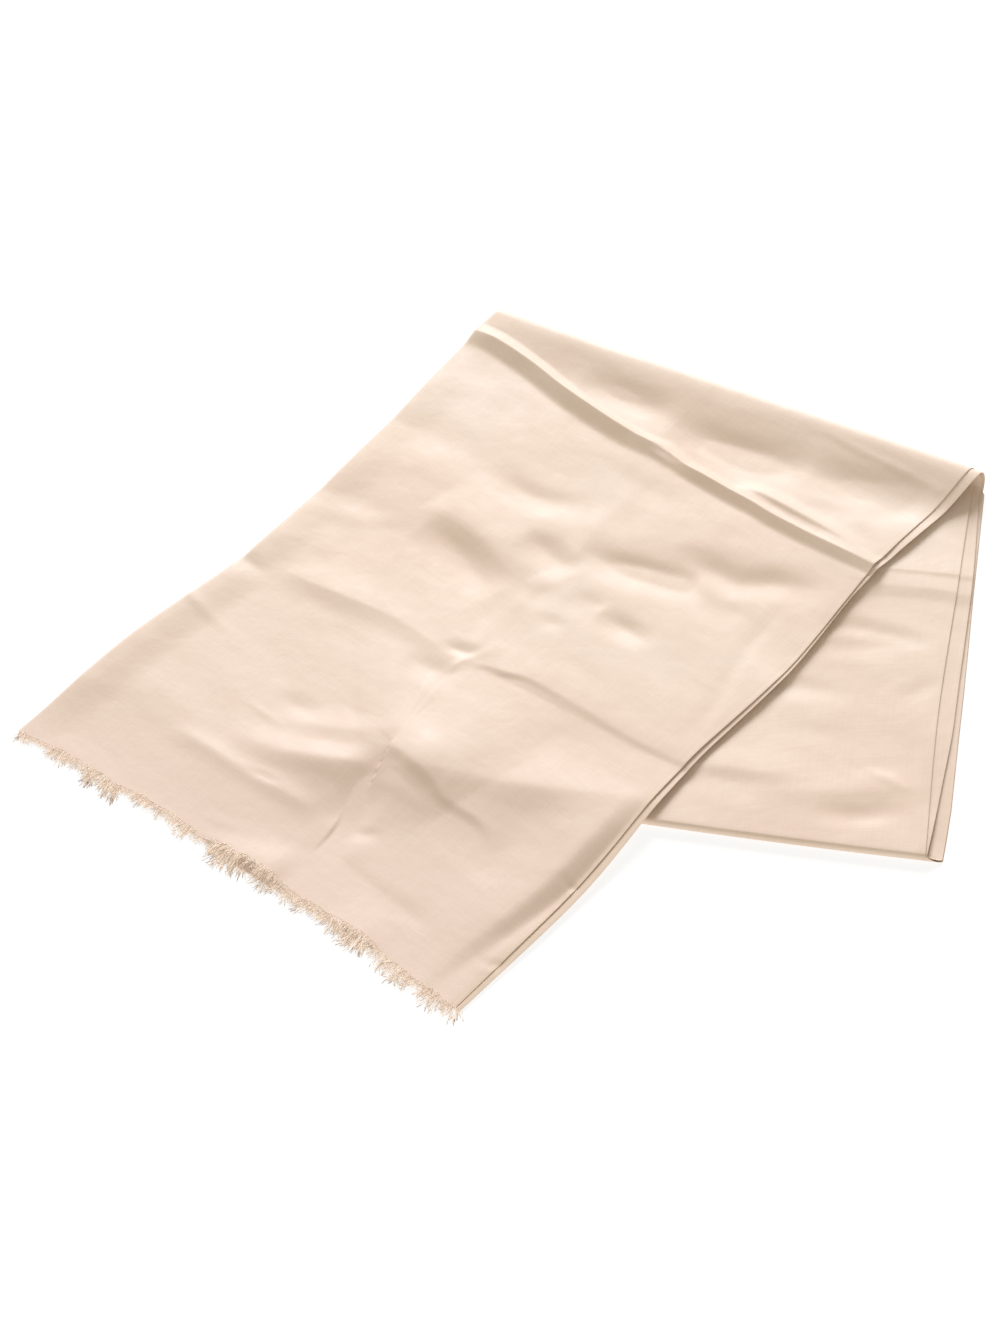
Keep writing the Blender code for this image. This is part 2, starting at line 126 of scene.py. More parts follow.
def creaseHeight(x, y, crease):  # height in metres that one crease adds at plan points x, y
    points, back, front, blunt, *foot = crease
    path = roundedPath(points) * (cm, cm, mm)
    reach = creaseShape["reach"] * max(back, front) * mm
    low, high = path[:, :2].min(0) - reach, path[:, :2].max(0) + reach
    near = (x > low[0]) & (x < high[0]) & (y > low[1]) & (y < high[1])
    px, py = x[near], y[near]
    nearest = np.full(px.shape, np.inf)
    side, height = np.zeros(px.shape), np.zeros(px.shape)
    for start, end in zip(path[:-1], path[1:]):
        step = end - start
        t = np.clip(((px - start[0]) * step[0] + (py - start[1]) * step[1])
                    / (step[0]**2 + step[1]**2), 0, 1)
        away = np.hypot(px - start[0] - t * step[0], py - start[1] - t * step[1])
        closer = away < nearest
        nearest = np.where(closer, away, nearest)
        side = np.where(closer, step[0] * (py - start[1]) - step[1] * (px - start[0]), side)
        height = np.where(closer, start[2] + t * step[2], height)
    share = nearest / (np.where(side > 0, back, front) * mm)
    share = np.sqrt(share**2 + blunt**2) - blunt
    foot = foot[0] if foot else creaseShape["foot"]
    total = np.zeros(x.shape)
    total[near] = height * np.log1p(np.exp((1 - share) / foot)) / np.log1p(math.exp(1 / foot))
    return total


def creaseSum(x, y, creases):
    return sum(creaseHeight(x, y, crease) for crease in creases.values())


def unevenSteps(start, end, wide, *zones):
    # positions from start to end, wide apart, and closer in zones of (place, reach, spacing)
    at = np.linspace(start, end, stepSamples)
    spacing = np.full(at.shape, float(wide))
    for place, reach, fine in zones:
        near = np.exp(-((at - place) / reach) ** 4)
        spacing = np.minimum(spacing, wide + (fine - wide) * near)
    count = np.concatenate(([0], np.cumsum(np.diff(at) / spacing[:-1])))
    return np.interp(np.linspace(0, count[-1], math.ceil(count[-1]) + 1), count, at)


# The form of the folded shawl, with the same sizes as its solids. Plan sizes are centimetres
# and heights millimetres. The upper leg runs from the fringe (station 0) over the old
# crosswise creases (1 and 2) to the last fold's crest (3) and round the fold to the floor (4).
# Distance is counted from the soft lengthwise fold on its left.
shawl = {
    "legWidth": 35.5,
    "creaseStep": 22.6,     # between the crosswise creases
    "cloth": 0.22,          # thickness of the silk
    "stack": 4.3,           # four layers as they lie
    "rollStack": 2.9,       # the same, pulled closer round the last fold
    "endShare": 0.32, "endLength": 9,  # and pressed thinner towards the fringe
    "thinSlack": 1.2,       # creases are lower there, by the stack's share times this
    "thinnest": 1.5,        # it is never pressed thinner than this
    "layGap": 0.8,          # between the lower leg and the upper one
}
lastFold = {
    "leftX": -17.9, "leftY": 27.77, "leftRadius": 7.0,
    "rightX": 18.8, "rightY": 27.22, "rightRadius": 8.8,
    "slant": 0.24,          # how far the cloth runs sideways round it
    "shoulder": 45,         # length of the slope down from it
    "waves": 0.5,           # how uneven its radius is
    "waveSize": 30, "waveSeed": 12,
    "creasesStart": 16,     # the creases fade in over this length in front of its crest
    "ends": (-0.05, 1.1),   # shares of its length between which its line and radius change
}
upperLeg = {
    # station, left x, left y, right x, right y, bow of the line between them
    "sections": (
        (0.0, -28.65, -20.45, 6.50, -27.20, 0.9),
        (0.5, -26.05, -10.10, 9.40, -15.80, 0.3),
        (1.0, -22.70, 0.05, 11.60, -4.35, -0.5),
        (1.5, -20.30, 12.90, 14.40, 6.10, -0.5),
        (2.0, -18.45, 25.40, 16.05, 16.45, -0.5),
        (3.0, -17.90, 27.77, 18.80, 27.22, 0.0),
    ),
    # station, how far the layers under the top one stand out at the open edges
    "openEdges": ((0, 0.35), (0.5, 0.55), (1, 0.40), (1.5, 0.22), (1.8, 0.15), (2, 0.35), (2.4, 0.6),
                  (3, 0.75), (4, 0.6)),
    # share across, how far the layers stand out at the fringe: the others, then the top one
    "frayedEnd": ((0, 0.0), (0.3, 0.05), (0.42, 0.4), (0.5, 0.75), (0.6, 0.75), (0.66, 0.2),
                  (0.71, 0.4), (0.8, 0.4), (0.86, 0.05), (1, 0.2)),
    "topEnd": ((0, 0.1), (0.3, 0.3), (0.42, 0.5), (0.49, 0.2), (0.58, 0.05), (0.63, 0.5), (0.69, 0.35),
               (0.78, 0.15), (0.86, 0.4), (1, 0.45)),
    # station, height of the soft roll beside the lengthwise fold
    "softFold": ((0, 1.4), (0.3, 2.8), (0.8, 2.9), (1, 1.6), (1.3, 1.9), (2, 1.2), (3, 0.2)),
    "softFoldStart": 5, "softFoldWidth": 27,
    "drapeStart": -8, "drapeLength": (56, 105),  # down past the lower leg's fold, on its left and right
    "drapeTurn": (-6, 16),  # where the left length turns into the right one, and over what width
    "drapeEase": 0.75,
    "drapeLeftStart": 1, "drapeLeftLength": 80,  # and down past its left edge
    # station, how far across the lengthwise crease lies
    "creaseAcross": ((0, 21.7), (0.15, 21.0), (0.3, 20.4), (0.5, 19.7), (1, 17.9), (2, 17.6), (3, 17.8)),
    # depth of each layer's outer face: 0 is the top of the stack and 1 the bottom
    "depths": {"tuck": 0.38, "second": 0.34, "third": 0.64, "fourth": 1.0},
    # the top layer's frayed end stands off the others here: share across where it starts, is
    # highest and ends, and its height
    "lifts": ((0.42, 0.56, 0.61, 2.3), (0.69, 0.78, 0.85, 1.1)), "liftReach": 0.14,
    "endReach": 0.15,       # stations over which a frayed end stands out
}
lowerLeg = {
    # station (0 at the last fold, 2 at the middle fold), then as above
    "sections": (
        (0.0, -17.20, 27.77, 19.30, 27.22, 0.0),
        (1.0, -12.30, 8.40, 21.65, 17.90, 0.0),
        (1.5, -9.40, -2.70, 24.40, 6.80, -0.1),
        (2.0, -6.40, -13.90, 27.75, -4.45, -0.35),
    ),
    # station, how far the second layer and the lowest ones stand out at the open edges
    "openEdges": ((0, 0.5, 0.9), (1, 0.95, 1.15), (1.5, 1.1, 1.55), (1.8, 0.6, 1.45), (2, 0.12, 1.15)),
    "foldRadius": 3.0,      # of the crosswise middle fold
    "foldShoulder": 48,
    "innerDepth": 1.25,     # the inner layer lies this far inside the outer one
    "creasesEnd": 0.06,     # the creases fade out over this many stations before the middle fold
    # soft crumple: share of the upper leg's, shift of its hills in metres, and stations it fades over
    "crumple": 0.8, "crumpleShift": 0.4, "crumpleEnd": 0.1,
}

upperCreases = {
    # (x, y, height) along it, width behind it, width in front of it, bluntness, and the
    # softness of its foot where that is crisper
    "secondRidgeLeft": (((-18.9, 25.5, 1.2), (-18.1, 25.4, 2.5), (-16.6, 25.2, 4.2), (-14.9, 24.7, 5.6),
        (-12.6, 23.9, 6.5), (-9.6, 22.6, 7), (-6.7, 21.6, 6.5), (-4.7, 21, 5.9), (-2.6, 20.6, 4),
        (-0.9, 20.5, 1.9), (0.9, 19.8, 0)), 9, 10.5, 0.06, 0.06),
    "secondRidgeRight": (((-3.6, 20.8, 0), (-2.2, 20.5, 1.3), (-0.4, 20.1, 2.9), (0.8, 19.6, 4.4),
        (2.4, 19.2, 5.1), (4.8, 18.6, 5), (6.3, 18.3, 4.8), (8.1, 17.8, 4.4), (10.6, 17.3, 4.2),
        (13.3, 16.9, 3.8), (15, 16.7, 3.2), (17.4, 16.4, 2.9)), 9, 8, 0.06, 0.06),
    "secondNotch": (((-2.2, 20, 0), (-1, 19.6, 1), (0.2, 19.2, 0)), 4, 4, 0.2),
    "lensRidge": (((4.6, 19.2, 0), (6.1, 19.5, 2.9), (7.9, 19.2, 3.8), (9.5, 18.8, 3.8), (11.8, 18.3, 2.9),
        (14.3, 17.7, 1.6), (16, 17.3, 0.4)), 10, 7, 0.08, 0.08),
    "behindSecond": (((-15.6, 25.2, 0), (-12.4, 24.6, -0.4), (-8.4, 24.2, -0.6), (-3.8, 23.5, -0.8),
        (0, 22.8, -0.8), (4.3, 22.4, -1), (8.7, 22.8, -1.3), (13.5, 22.9, -1.2), (17.4, 23.8, -0.5)),
        15, 26, 0.5),
    "crestBlobA": (((-9.4, 24.9, 0), (-7, 24.5, -2), (-4.2, 24.3, -2.1), (-2, 23.8, 0)), 11, 16, 0.5),
    "crestBlobB": (((-1.6, 23.4, 0), (1.6, 22.7, -2.9), (5.2, 22.8, -2.9), (8.8, 23.6, 0)), 14, 20, 0.4),
    "crestBlobC": (((8.8, 23.6, 0), (12, 23.2, -2.5), (15.4, 23.8, -1.9), (17.4, 24.4, 0)), 13, 18, 0.4),
    "crestLine": (((7.4, 27, 0), (9.2, 26.5, 0.5), (11, 26.1, 0.6), (14.4, 25.6, 0.6), (17.6, 25, 0.4)),
        5, 3, 0.1),
    "belowCrestA": (((9.2, 19.9, 0), (11.2, 20.2, -0.7), (13.4, 20.6, 0)), 6, 9, 0.5),
    "belowCrestB": (((13.4, 20.9, 0), (15.4, 22, -0.7), (17.4, 22.8, 0)), 6, 9, 0.5),
    "belowCrestC": (((-0.4, 21.8, 0), (1.7, 21.4, 0.6), (3.8, 21, 0)), 8, 5, 0.3),
    "firstRidge": (((-20.6, -0.8, 0), (-19.4, -0.9, 0.7), (-18.2, -1, 1.3), (-17, -1.1, 1.7),
        (-14.6, -1.3, 1.8), (-11.7, -1.6, 1.7), (-9.2, -2.1, 1.4), (-6.9, -2.8, 0.9), (-5.3, -3.3, 0.2)),
        20, 11, 0.1),
    "firstFall": (((-23.4, 0.6, 0.4), (-21.8, 1.7, 0.9), (-20.4, 2.5, 1), (-18.4, 2.9, 0.7), (-16, 3.2, 0)),
        32, 17, 0.3),
    "firstStep": (((-4.8, -3.2, 0), (-3.4, -2.9, 0.7), (-2.2, -2.9, 1.1), (-0.6, -2.7, 1), (2, -3.1, 0.7),
        (4.6, -3.6, 0.5), (8.2, -4.3, 0.3), (12.4, -4.8, 0.2)), 22, 4, 0.08, 0.1),
    "firstValley": (((-3.6, -3.6, 0), (-1, -3.6, -0.5), (3.6, -4.2, -0.5), (8.2, -4.9, -0.5),
        (12.4, -5.3, -0.4)), 4, 9, 0.2),
    "knotRidge": (((-6.2, -5.6, 0), (-5.6, -4.2, 0.4), (-5.1, -3.2, 0.6), (-4.2, -2, 0.5), (-3.3, -0.6, 0)),
        4, 5, 0.1),
    "knotHollowA": (((-7, -2.4, 0), (-5.9, -2.4, -1.3), (-4.9, -2.3, -0.8), (-4.1, -2, 0)), 6, 5, 0.3),
    "knotHollowB": (((-8.6, -4.3, 0), (-7, -4.6, -1.5), (-5.7, -4.7, -1.5), (-4.7, -4.6, 0)), 8, 12, 0.3),
    "lengthTrough": (((-6.1, -12, 0), (-6.2, -13.6, -2.1), (-6.3, -15.4, -2.8), (-6.3, -17, -1.8),
        (-6.2, -18.6, 0)), 15, 11, 0.4),
    "lengthLine": (((-6.1, -14.4, 0), (-6.2, -16.6, -1.5), (-6.2, -18.3, -2.3), (-6.5, -21, -2.3),
        (-7.4, -24.4, -2)), 16, 3.5, 0.08, 0.1),
    "lengthRidge": (((-7.6, -15.6, 0), (-7.2, -13.2, 0.2), (-6.8, -11.3, 0.4), (-6.5, -9.8, 0.4),
        (-6, -6.7, 0.2), (-5.5, -4.4, 0.1)), 12, 13, 0.6),
    "lengthBack": (((-5, -1.4, 0.3), (-3.1, 7.6, 0.2), (-1.2, 17, 0.2), (-0.8, 19.4, 0)), 7, 7, 0.3),
    "peakRight": (((-7, -9.9, 0.3), (-5.8, -10, 0.6), (-3.2, -10.8, 0.5), (-1.8, -12, 0.3),
        (-0.6, -12.7, 0)), 30, 12, 0.2),
    "peakBranch": (((-6, -11.6, 0.3), (-5, -12.2, 1), (-2.2, -13.2, 1.6), (-1.1, -13.9, 1.5),
        (2, -14.6, 1.1), (3.6, -16.3, 0)), 26, 5, 0.08, 0.1),
    "tentFace": (((-8.6, -11.6, 0), (-7.4, -10.9, 1.8), (-6.2, -10.4, 3.6), (-5.2, -10.6, 5.3),
        (-3.4, -11.5, 5.9), (-1.4, -12.8, 2.4), (0, -13.6, 0)), 72, 38, 0.3),
    "tentLight": (((-5.2, -13.6, 0), (-3.2, -14.6, 0.5), (-1.4, -15.5, 0)), 5, 7, 0.2),
    "peakHollow": (((-6.4, -12.6, 0), (-5.2, -13.2, -1.2), (-3.8, -13.8, -0.9), (-2.4, -14.4, 0)),
        10, 8, 0.4),
    "overFold": (((-2, -12.1, 0), (0.4, -11.6, 1.6), (2.4, -11.1, 2.5), (4.6, -10.4, 2.5), (6.8, -9.5, 1.3),
        (9, -8.6, 0.3), (11, -8, 0)), 38, 15, 0.3),
    "hollowA": (((-13, 6.9, 0), (-11.4, 6.3, -2), (-9.4, 5.3, -3.1), (-7.4, 4.2, -2.4), (-5.8, 3.4, 0)),
        18, 24, 0.25),
    "overA": (((-13.6, 9, 0), (-12, 8.4, 1.8), (-10.2, 7.8, 2.9), (-8.2, 7, 2.9), (-6.4, 5.8, 1.6),
        (-5, 4.8, 0)), 52, 17, 0.12),
    "hollowB": (((-6.4, 8.9, 0), (-4.8, 8.4, -2.7), (-3.2, 7.7, -2.5), (-1.9, 7, 0)), 10, 14, 0.35),
    "hollowC": (((-2.4, 9.4, 0), (-0.2, 9.2, -2.7), (2.2, 9.4, -3.7), (4.8, 9.7, -2.7), (6.4, 10, 0)),
        10, 15, 0.3),
    "hollowD": (((3.6, 12.3, 0), (6.2, 11.7, -2.2), (8.4, 11.4, -2.5), (10.6, 12.4, -2.4),
        (12.8, 12.8, -1.3), (14, 13.2, 0)), 10, 14, 0.3),
    "overLower": (((-8.4, 10.8, 0), (-6.4, 10.9, 0.7), (-3.8, 11.5, 1.1), (0.1, 12.1, 1.4), (3.3, 13.1, 1.4),
        (6.6, 14, 1.4), (10.4, 14.7, 1), (14.4, 15, 0.5)), 34, 16, 0.5),
    "hollowE": (((1.2, 4.8, 0), (3.2, 4.2, -2.2), (5.4, 3.6, 0)), 8, 11, 0.3),
    "hollowF": (((-1.3, 5.6, 0), (0.2, 5.2, -0.9), (1.3, 4.9, 0)), 7, 10, 0.4),
    "hollowG": (((-2.6, 2.7, 0), (-1.3, 2.5, -0.7), (-0.1, 2.4, 0)), 5, 8, 0.4),
    "hollowH": (((-11.4, 14.1, 0), (-9, 12.8, -1.6), (-6.4, 12.6, -1.7), (-2.6, 13.6, 0)), 9, 14, 0.35),
    "hollowI": (((3.8, 10.2, 0), (6.2, 9.3, -0.6), (8.6, 9, 0)), 7, 9, 0.5),
    "hollowJ": (((5.6, 8, 0), (8.7, 8.6, -0.7), (11.2, 10.4, 0)), 7, 10, 0.5),
    "hollowK": (((-5.4, 4.6, 0), (-3.2, 4.4, -0.7), (-1.8, 5.6, 0)), 6, 9, 0.5),
    "hollowL": (((-5.2, 17.4, 0), (-0.7, 16.6, -0.7), (3.2, 16.6, 0)), 8, 12, 0.5),
    "leftHollowA": (((-20.2, 15.2, -0.7), (-18.4, 15.1, -1), (-16.2, 14.9, -0.8), (-13.4, 13.9, 0)),
        12, 24, 0.3),
    "leftHollowB": (((-21, 7, -1), (-18.8, 7.2, -1), (-16.4, 6.8, -0.7), (-14.4, 6.4, 0)), 13, 12, 0.4),
    "leftHollowC": (((-21.4, 4.2, 0), (-18.4, 4.6, -0.7), (-15, 5.4, -0.8), (-13.4, 6.6, 0)), 8, 18, 0.4),
    "leftRidgeB": (((-20.4, 18.4, 0.2), (-18.6, 19.4, 0.2), (-15.4, 20, 0.2), (-12.4, 20.2, 0)), 12, 9, 0.35),
    "leftHollowE": (((-19.4, 21.6, -0.1), (-17.2, 21.6, -0.2), (-14.8, 21.2, 0)), 12, 9, 0.4),
    "lowerLeftRidge": (((-19.9, -15.8, 0), (-17.6, -16.4, 1.1), (-15, -16.9, 1.4), (-12, -17.4, 1.4),
        (-9.4, -17.8, 1), (-7.9, -18, 0)), 9, 9, 0.12),
    "lowerLeftSlit": (((-13.8, -17, 0), (-12.4, -17.1, -0.9), (-11, -17.2, 0)), 3, 3, 0.15),
    "middleLeftRidge": (((-16.4, -14.6, 0), (-13.8, -14.9, 1.5), (-11.2, -14.7, 2.3), (-8.8, -14.3, 2.2),
        (-7.4, -13.7, 0.7)), 13, 11, 0.3),
    "upperLeftRidge": (((-13.8, -12.3, 0), (-11, -12, 1), (-8.6, -11.4, 1.2), (-7.2, -10.9, 0.4)),
        12, 9, 0.35),
    "leftMark": (((-15, -10.8, 0), (-13.2, -11, -1.1), (-11.2, -11.1, 0)), 8, 9, 0.4),
    "faintLine": (((-17, -11.9, 0), (-15, -12.4, 0.4), (-13, -13, 0)), 4, 3, 0.3),
    "frontLine": (((-15, -21.3, 0), (-13.1, -21.3, 0.6), (-11.2, -21.3, 0)), 5, 3, 0.2),
    "frontHollowA": (((-6.4, -20.6, 0), (-4.8, -21.4, -1.2), (-2.2, -22.1, -1.5), (0.4, -22.5, -1.3),
        (2.8, -23, 0)), 9, 8, 0.15),
    "frontHollowB": (((-2.2, -23.2, 0), (-0.4, -23.8, -0.7), (2.2, -24.8, 0)), 3, 4, 0.2),
    "frontHollowC": (((-5.6, -18.4, 0), (-4.5, -18.2, -0.7), (-3.4, -17.8, 0)), 4, 6, 0.3),
    "edgeRise": (((9.5, -8, 0), (9.1, -10.6, 1.8), (8.6, -12.9, 2.8), (8.1, -15.2, 3.3), (7.5, -17.2, 3.1),
        (6.6, -19.6, 2.6), (5.6, -21.9, 2.1), (4.6, -24.2, 1.7), (3.8, -27, 1.3)), 9, 36, 0.1, 0.1),
    "edgeTrough": (((10.6, -8.4, 0), (10.1, -11.2, -1.2), (9.6, -13.6, -1.6), (9.1, -15.9, -1.6),
        (8.4, -17.8, -1.5), (7.5, -20, -1.2), (6.5, -22.3, -1), (5.5, -24.6, -0.8), (4.8, -27.4, -0.6)),
        8, 7, 0.12),
    "tuckA": (((9.6, -16.5, 0), (8.8, -16.3, -0.8), (7.9, -16, 0)), 3, 3.5, 0.2),
    "tuckB": (((8.1, -23.5, 0), (7.4, -23.6, -1.2), (6, -23.9, 0)), 3, 4, 0.2),
    "rimTrough": (((10.4, -3.8, 0), (11.2, 0, -0.5), (11.2, 3.4, -0.6), (11.4, 7.2, -0.6), (12.2, 12, 0)),
        8, 5, 0.3),
    "leftPinch": (((-23.4, -0.8, -0.8), (-22.2, -1.3, -1.6), (-20.6, -1.9, 0)), 7, 10, 0.25),
    "leftCrease": (((-25, -5.4, 0.6), (-22.6, -6.4, 0.5), (-20, -7.4, 0)), 5, 5, 0.2),
}
lowerCreases = {
    "thirdRidge": (((13.6, 16.2, 0.2), (16.8, 17.2, 0.4), (19.1, 18, 0.5), (21.5, 18.8, 0.5),
        (23.6, 19.5, 0.3)), 16, 3, 0.1),
    "thirdStep": (((13.5, 15.1, 0.6), (16.8, 15.7, 1.1), (19.4, 16.6, 1.3), (21.8, 17.3, 1.3),
        (23.8, 17.9, 1.1)), 44, 9, 0.15, 0.12),
    "markA": (((14.6, 11.2, 0), (16.6, 11.4, -1.1), (18.4, 11.7, -1.2), (20.4, 12, -1), (22.4, 12.2, 0)),
        7, 8, 0.4),
    "markB": (((14.8, 8.8, 0), (16.5, 9.3, -0.7), (18.2, 10.2, -0.8), (21, 11.2, 0)), 6, 9, 0.4),
    "markC": (((12.8, 4.9, 0), (14.8, 5, -1), (16.6, 5.2, -1), (19, 5.4, 0)), 7, 9, 0.4),
    "markD": (((21.8, 6.6, 0), (22.7, 8.2, -0.7), (23.4, 9.8, 0)), 6, 6, 0.5),
    "markE": (((14.6, 0.9, 0), (17.4, 1.6, -0.5), (20.4, 2.5, 0)), 8, 9, 0.5),
    "bowTieA": (((10.8, -4.4, 0.4), (12.7, -3.9, 1.4), (14.8, -3.3, 1.5), (16.9, -2.7, 1), (19.2, -2, 0)),
        22, 8, 0.12),
    "bowTieB": (((15.4, -4.6, 0), (18.7, -3.3, 1.5), (21.4, -2, 2.1), (23.6, -0.7, 1.5), (26.4, 0.2, 0)),
        24, 13, 0.25),
    "bowTieC": (((20.2, -4.6, 0), (22.2, -3.9, -1.2), (23.9, -3, -0.9), (25, -1.8, 0)), 7, 7, 0.4),
    "cornerLine": (((20.8, 0.6, 0), (23.2, 0.1, 0.7), (25.6, -0.2, 0)), 4, 4, 0.15),
    "cornerPatch": (((20.6, -0.2, 0), (22.3, 0.5, -0.6), (24.2, 1.2, 0)), 6, 6, 0.4),
    "cornerShade": (((21.6, -6.2, 0), (22.8, -5, -0.5), (23.6, -3.6, 0)), 8, 8, 0.5),
}
crumpleTurn = (0.96, 0.28)  # cosine and sine of the turn of the soft crumple
# size of the hills, how much longer they are along x, height, seed
softCrumple = {"slack": (58, 1.6, 1.0, 3), "ripple": (25, 1.8, 0.36, 8), "fine": (10, 1.5, 0.085, 5)}


def crumple(x, y):
    cosine, sine = crumpleTurn
    turned, across = x * cosine - y * sine, x * sine + y * cosine
    return sum(height * mm * hills(turned / longer, across, size * mm, seed)
               for size, longer, height, seed in softCrumple.values())


def ruledPlan(sections, stations, shares):  # plan points in metres
    leftX, leftY, rightX, rightY, bow = (smoothThrough(sections, k, stations) for k in range(1, 6))
    x = leftX + (rightX - leftX) * shares
    y = leftY + (rightY - leftY) * shares + bow * 4 * shares * (1 - shares)
    return x * cm, y * cm


def foldShare(x):
    left, right = lastFold["leftX"] * cm, lastFold["rightX"] * cm
    return np.clip((x - left) / (right - left), *lastFold["ends"])


def foldRadius(x):
    left, right = lastFold["leftRadius"], lastFold["rightRadius"]
    return (left + (right - left) * foldShare(x)) * mm


def foldY(x):
    return (lastFold["leftY"] + (lastFold["rightY"] - lastFold["leftY"]) * foldShare(x)) * cm


def pastLine(x, y, start, end):  # distance to the left of a line given in centimetres
    (ax, ay), (bx, by) = np.array(start) * cm, np.array(end) * cm
    return ((bx - ax) * (y - ay) - (by - ay) * (x - ax)) / math.hypot(bx - ax, by - ay)


def outsideLowerLeg(x, y):
    first, last = lowerLeg["sections"][0], lowerLeg["sections"][-1]
    pastLeft = pastLine(x, y, last[1:3], first[1:3])
    pastFront = -pastLine(x, y, last[1:3], last[3:5]) - lowerLeg["foldRadius"] * mm
    return pastLeft, pastFront


def lowerLegTop(x, y):
    radius, stack = lowerLeg["foldRadius"] * mm, shawl["stack"] * mm
    swell = softStep(1 + (outsideLowerLeg(x, y)[1] + radius) / (lowerLeg["foldShoulder"] * mm))
    return stack + (2 * radius - stack) * swell


def underUpperLeg(x, y):
    pastLeft, pastFront = outsideLowerLeg(x, y)
    left = (pastLeft / mm - upperLeg["drapeLeftStart"]) / upperLeg["drapeLeftLength"]
    lengthLeft, lengthRight = upperLeg["drapeLength"]
    turnStart, turnWidth = upperLeg["drapeTurn"]
    length = lengthLeft + (lengthRight - lengthLeft) * softStep((x / cm - turnStart) / turnWidth)
    front = np.clip((pastFront / mm - upperLeg["drapeStart"]) / length, 0, 1) ** upperLeg["drapeEase"]
    return softStep(1 - left) * softStep(1 - front) * (lowerLegTop(x, y) + shawl["layGap"] * mm)


def upperLegPoints(stations, distances, depths):
    stations, distances, depths = np.broadcast_arrays(stations, distances, depths)
    x, y = ruledPlan(upperLeg["sections"], np.minimum(stations, 3), distances / shawl["legWidth"])
    fromCrest = foldY(x) - y
    rise = softStep(1 - fromCrest / (lastFold["shoulder"] * mm))
    radius = foldRadius(x)
    stack = (shawl["stack"] + (shawl["rollStack"] - shawl["stack"]) * rise) * mm
    fromEnd = stations * shawl["creaseStep"]
    thinned = shawl["endShare"] + (1 - shawl["endShare"]) * softStep(fromEnd / shawl["endLength"])
    under = underUpperLeg(x, y)
    under = under + (2 * radius - stack - under) * rise
    bulge = smoothThrough(upperLeg["softFold"], 1, np.minimum(stations, 3)) * mm
    bulge = bulge * softStep(1 - (distances * 10 - upperLeg["softFoldStart"]) / upperLeg["softFoldWidth"])
    slack = creaseSum(x, y, upperCreases) + crumple(x, y) + bulge
    slack = slack * softStep(fromCrest / (lastFold["creasesStart"] * mm)) * np.minimum(
        thinned * shawl["thinSlack"], 1)
    shaped = np.maximum(stack * thinned + slack, shawl["thinnest"] * mm)
    z = under + shaped * (1 - depths)

    # from the crest the cloth runs round the last fold, and then a little way along the floor
    turn = np.clip(stations - 3, 0, 1) * math.pi
    roundX = x + lastFold["slant"] * radius * turn
    radius = foldRadius(roundX)
    waves = hills(roundX, turn * radius, lastFold["waveSize"] * mm, lastFold["waveSeed"])
    waves = lastFold["waves"] * mm * waves * np.sin(turn)
    reach = radius + waves - shawl["rollStack"] * mm * depths
    roundY = foldY(roundX) + reach * np.sin(turn) - np.maximum(stations - 4, 0) * cm
    roundZ = radius + reach * np.cos(turn)
    roundZ = np.where(stations > 4, shawl["rollStack"] * mm * depths, roundZ)
    over = stations > 3
    return np.stack([np.where(over, a, b) for a, b in ((roundX, x), (roundY, y), (roundZ, z))], axis=-1)


def lowerStations(route):
    return np.where(route < 1, np.maximum(route * 2, 0),
                    np.where(route < 2, 2.0, np.clip(6 - route * 2, 0, 2)))


def lowerLegPoints(route, distances, depth):
    # route 0 to 1 along the floor to the middle fold, 1 to 2 round it, 2 to 3 back over the
    # leg, 3 to 4 round inside the last fold; depth in millimetres inside the outer layer
    route, distances = np.broadcast_arrays(route, distances)
    shares = distances / shawl["legWidth"]
    stations = lowerStations(route)
    x, y = ruledPlan(lowerLeg["sections"], stations, shares)
    top = lowerLegTop(x, y) + creaseSum(x, y, lowerCreases) * softStep(
        (2 - stations) / lowerLeg["creasesEnd"])
    softened = softStep((2 - stations) / lowerLeg["crumpleEnd"]) * softStep(stations / lowerLeg["crumpleEnd"])
    top = top + crumple(x + lowerLeg["crumpleShift"], y) * lowerLeg["crumple"] * softened
    z = np.where(route < 1, depth * mm, top - depth * mm)

    first, last = (ruledPlan(lowerLeg["sections"], 2.0, share) for share in (0.0, 1.0))
    line = np.array((last[0] - first[0], last[1] - first[1]))
    forward = np.array((line[1], -line[0])) / np.hypot(*line)
    turn = (np.clip(route, 1, 2) - 1.5) * math.pi
    radius = (lowerLeg["foldRadius"] - depth) * mm
    bend = (route >= 1) & (route <= 2)
    x = x + np.where(bend, forward[0] * radius * np.cos(turn), 0)
    y = y + np.where(bend, forward[1] * radius * np.cos(turn), 0)
    z = np.where(bend, lowerLeg["foldRadius"] * mm + radius * np.sin(turn), z)

    inside = route > 3
    turn = np.where(inside, (4 - route) * math.pi, math.pi)
    roundX = x - lastFold["slant"] * foldRadius(x) * (math.pi - turn)
    radius = foldRadius(roundX)
    reach = radius - (shawl["stack"] - depth) * mm
    x, y, z = (np.where(inside, a, b) for a, b in (
        (roundX, x), (foldY(roundX) + reach * np.sin(turn), y), (radius + reach * np.cos(turn), z)))
    return np.stack((x, y, z), axis=-1)


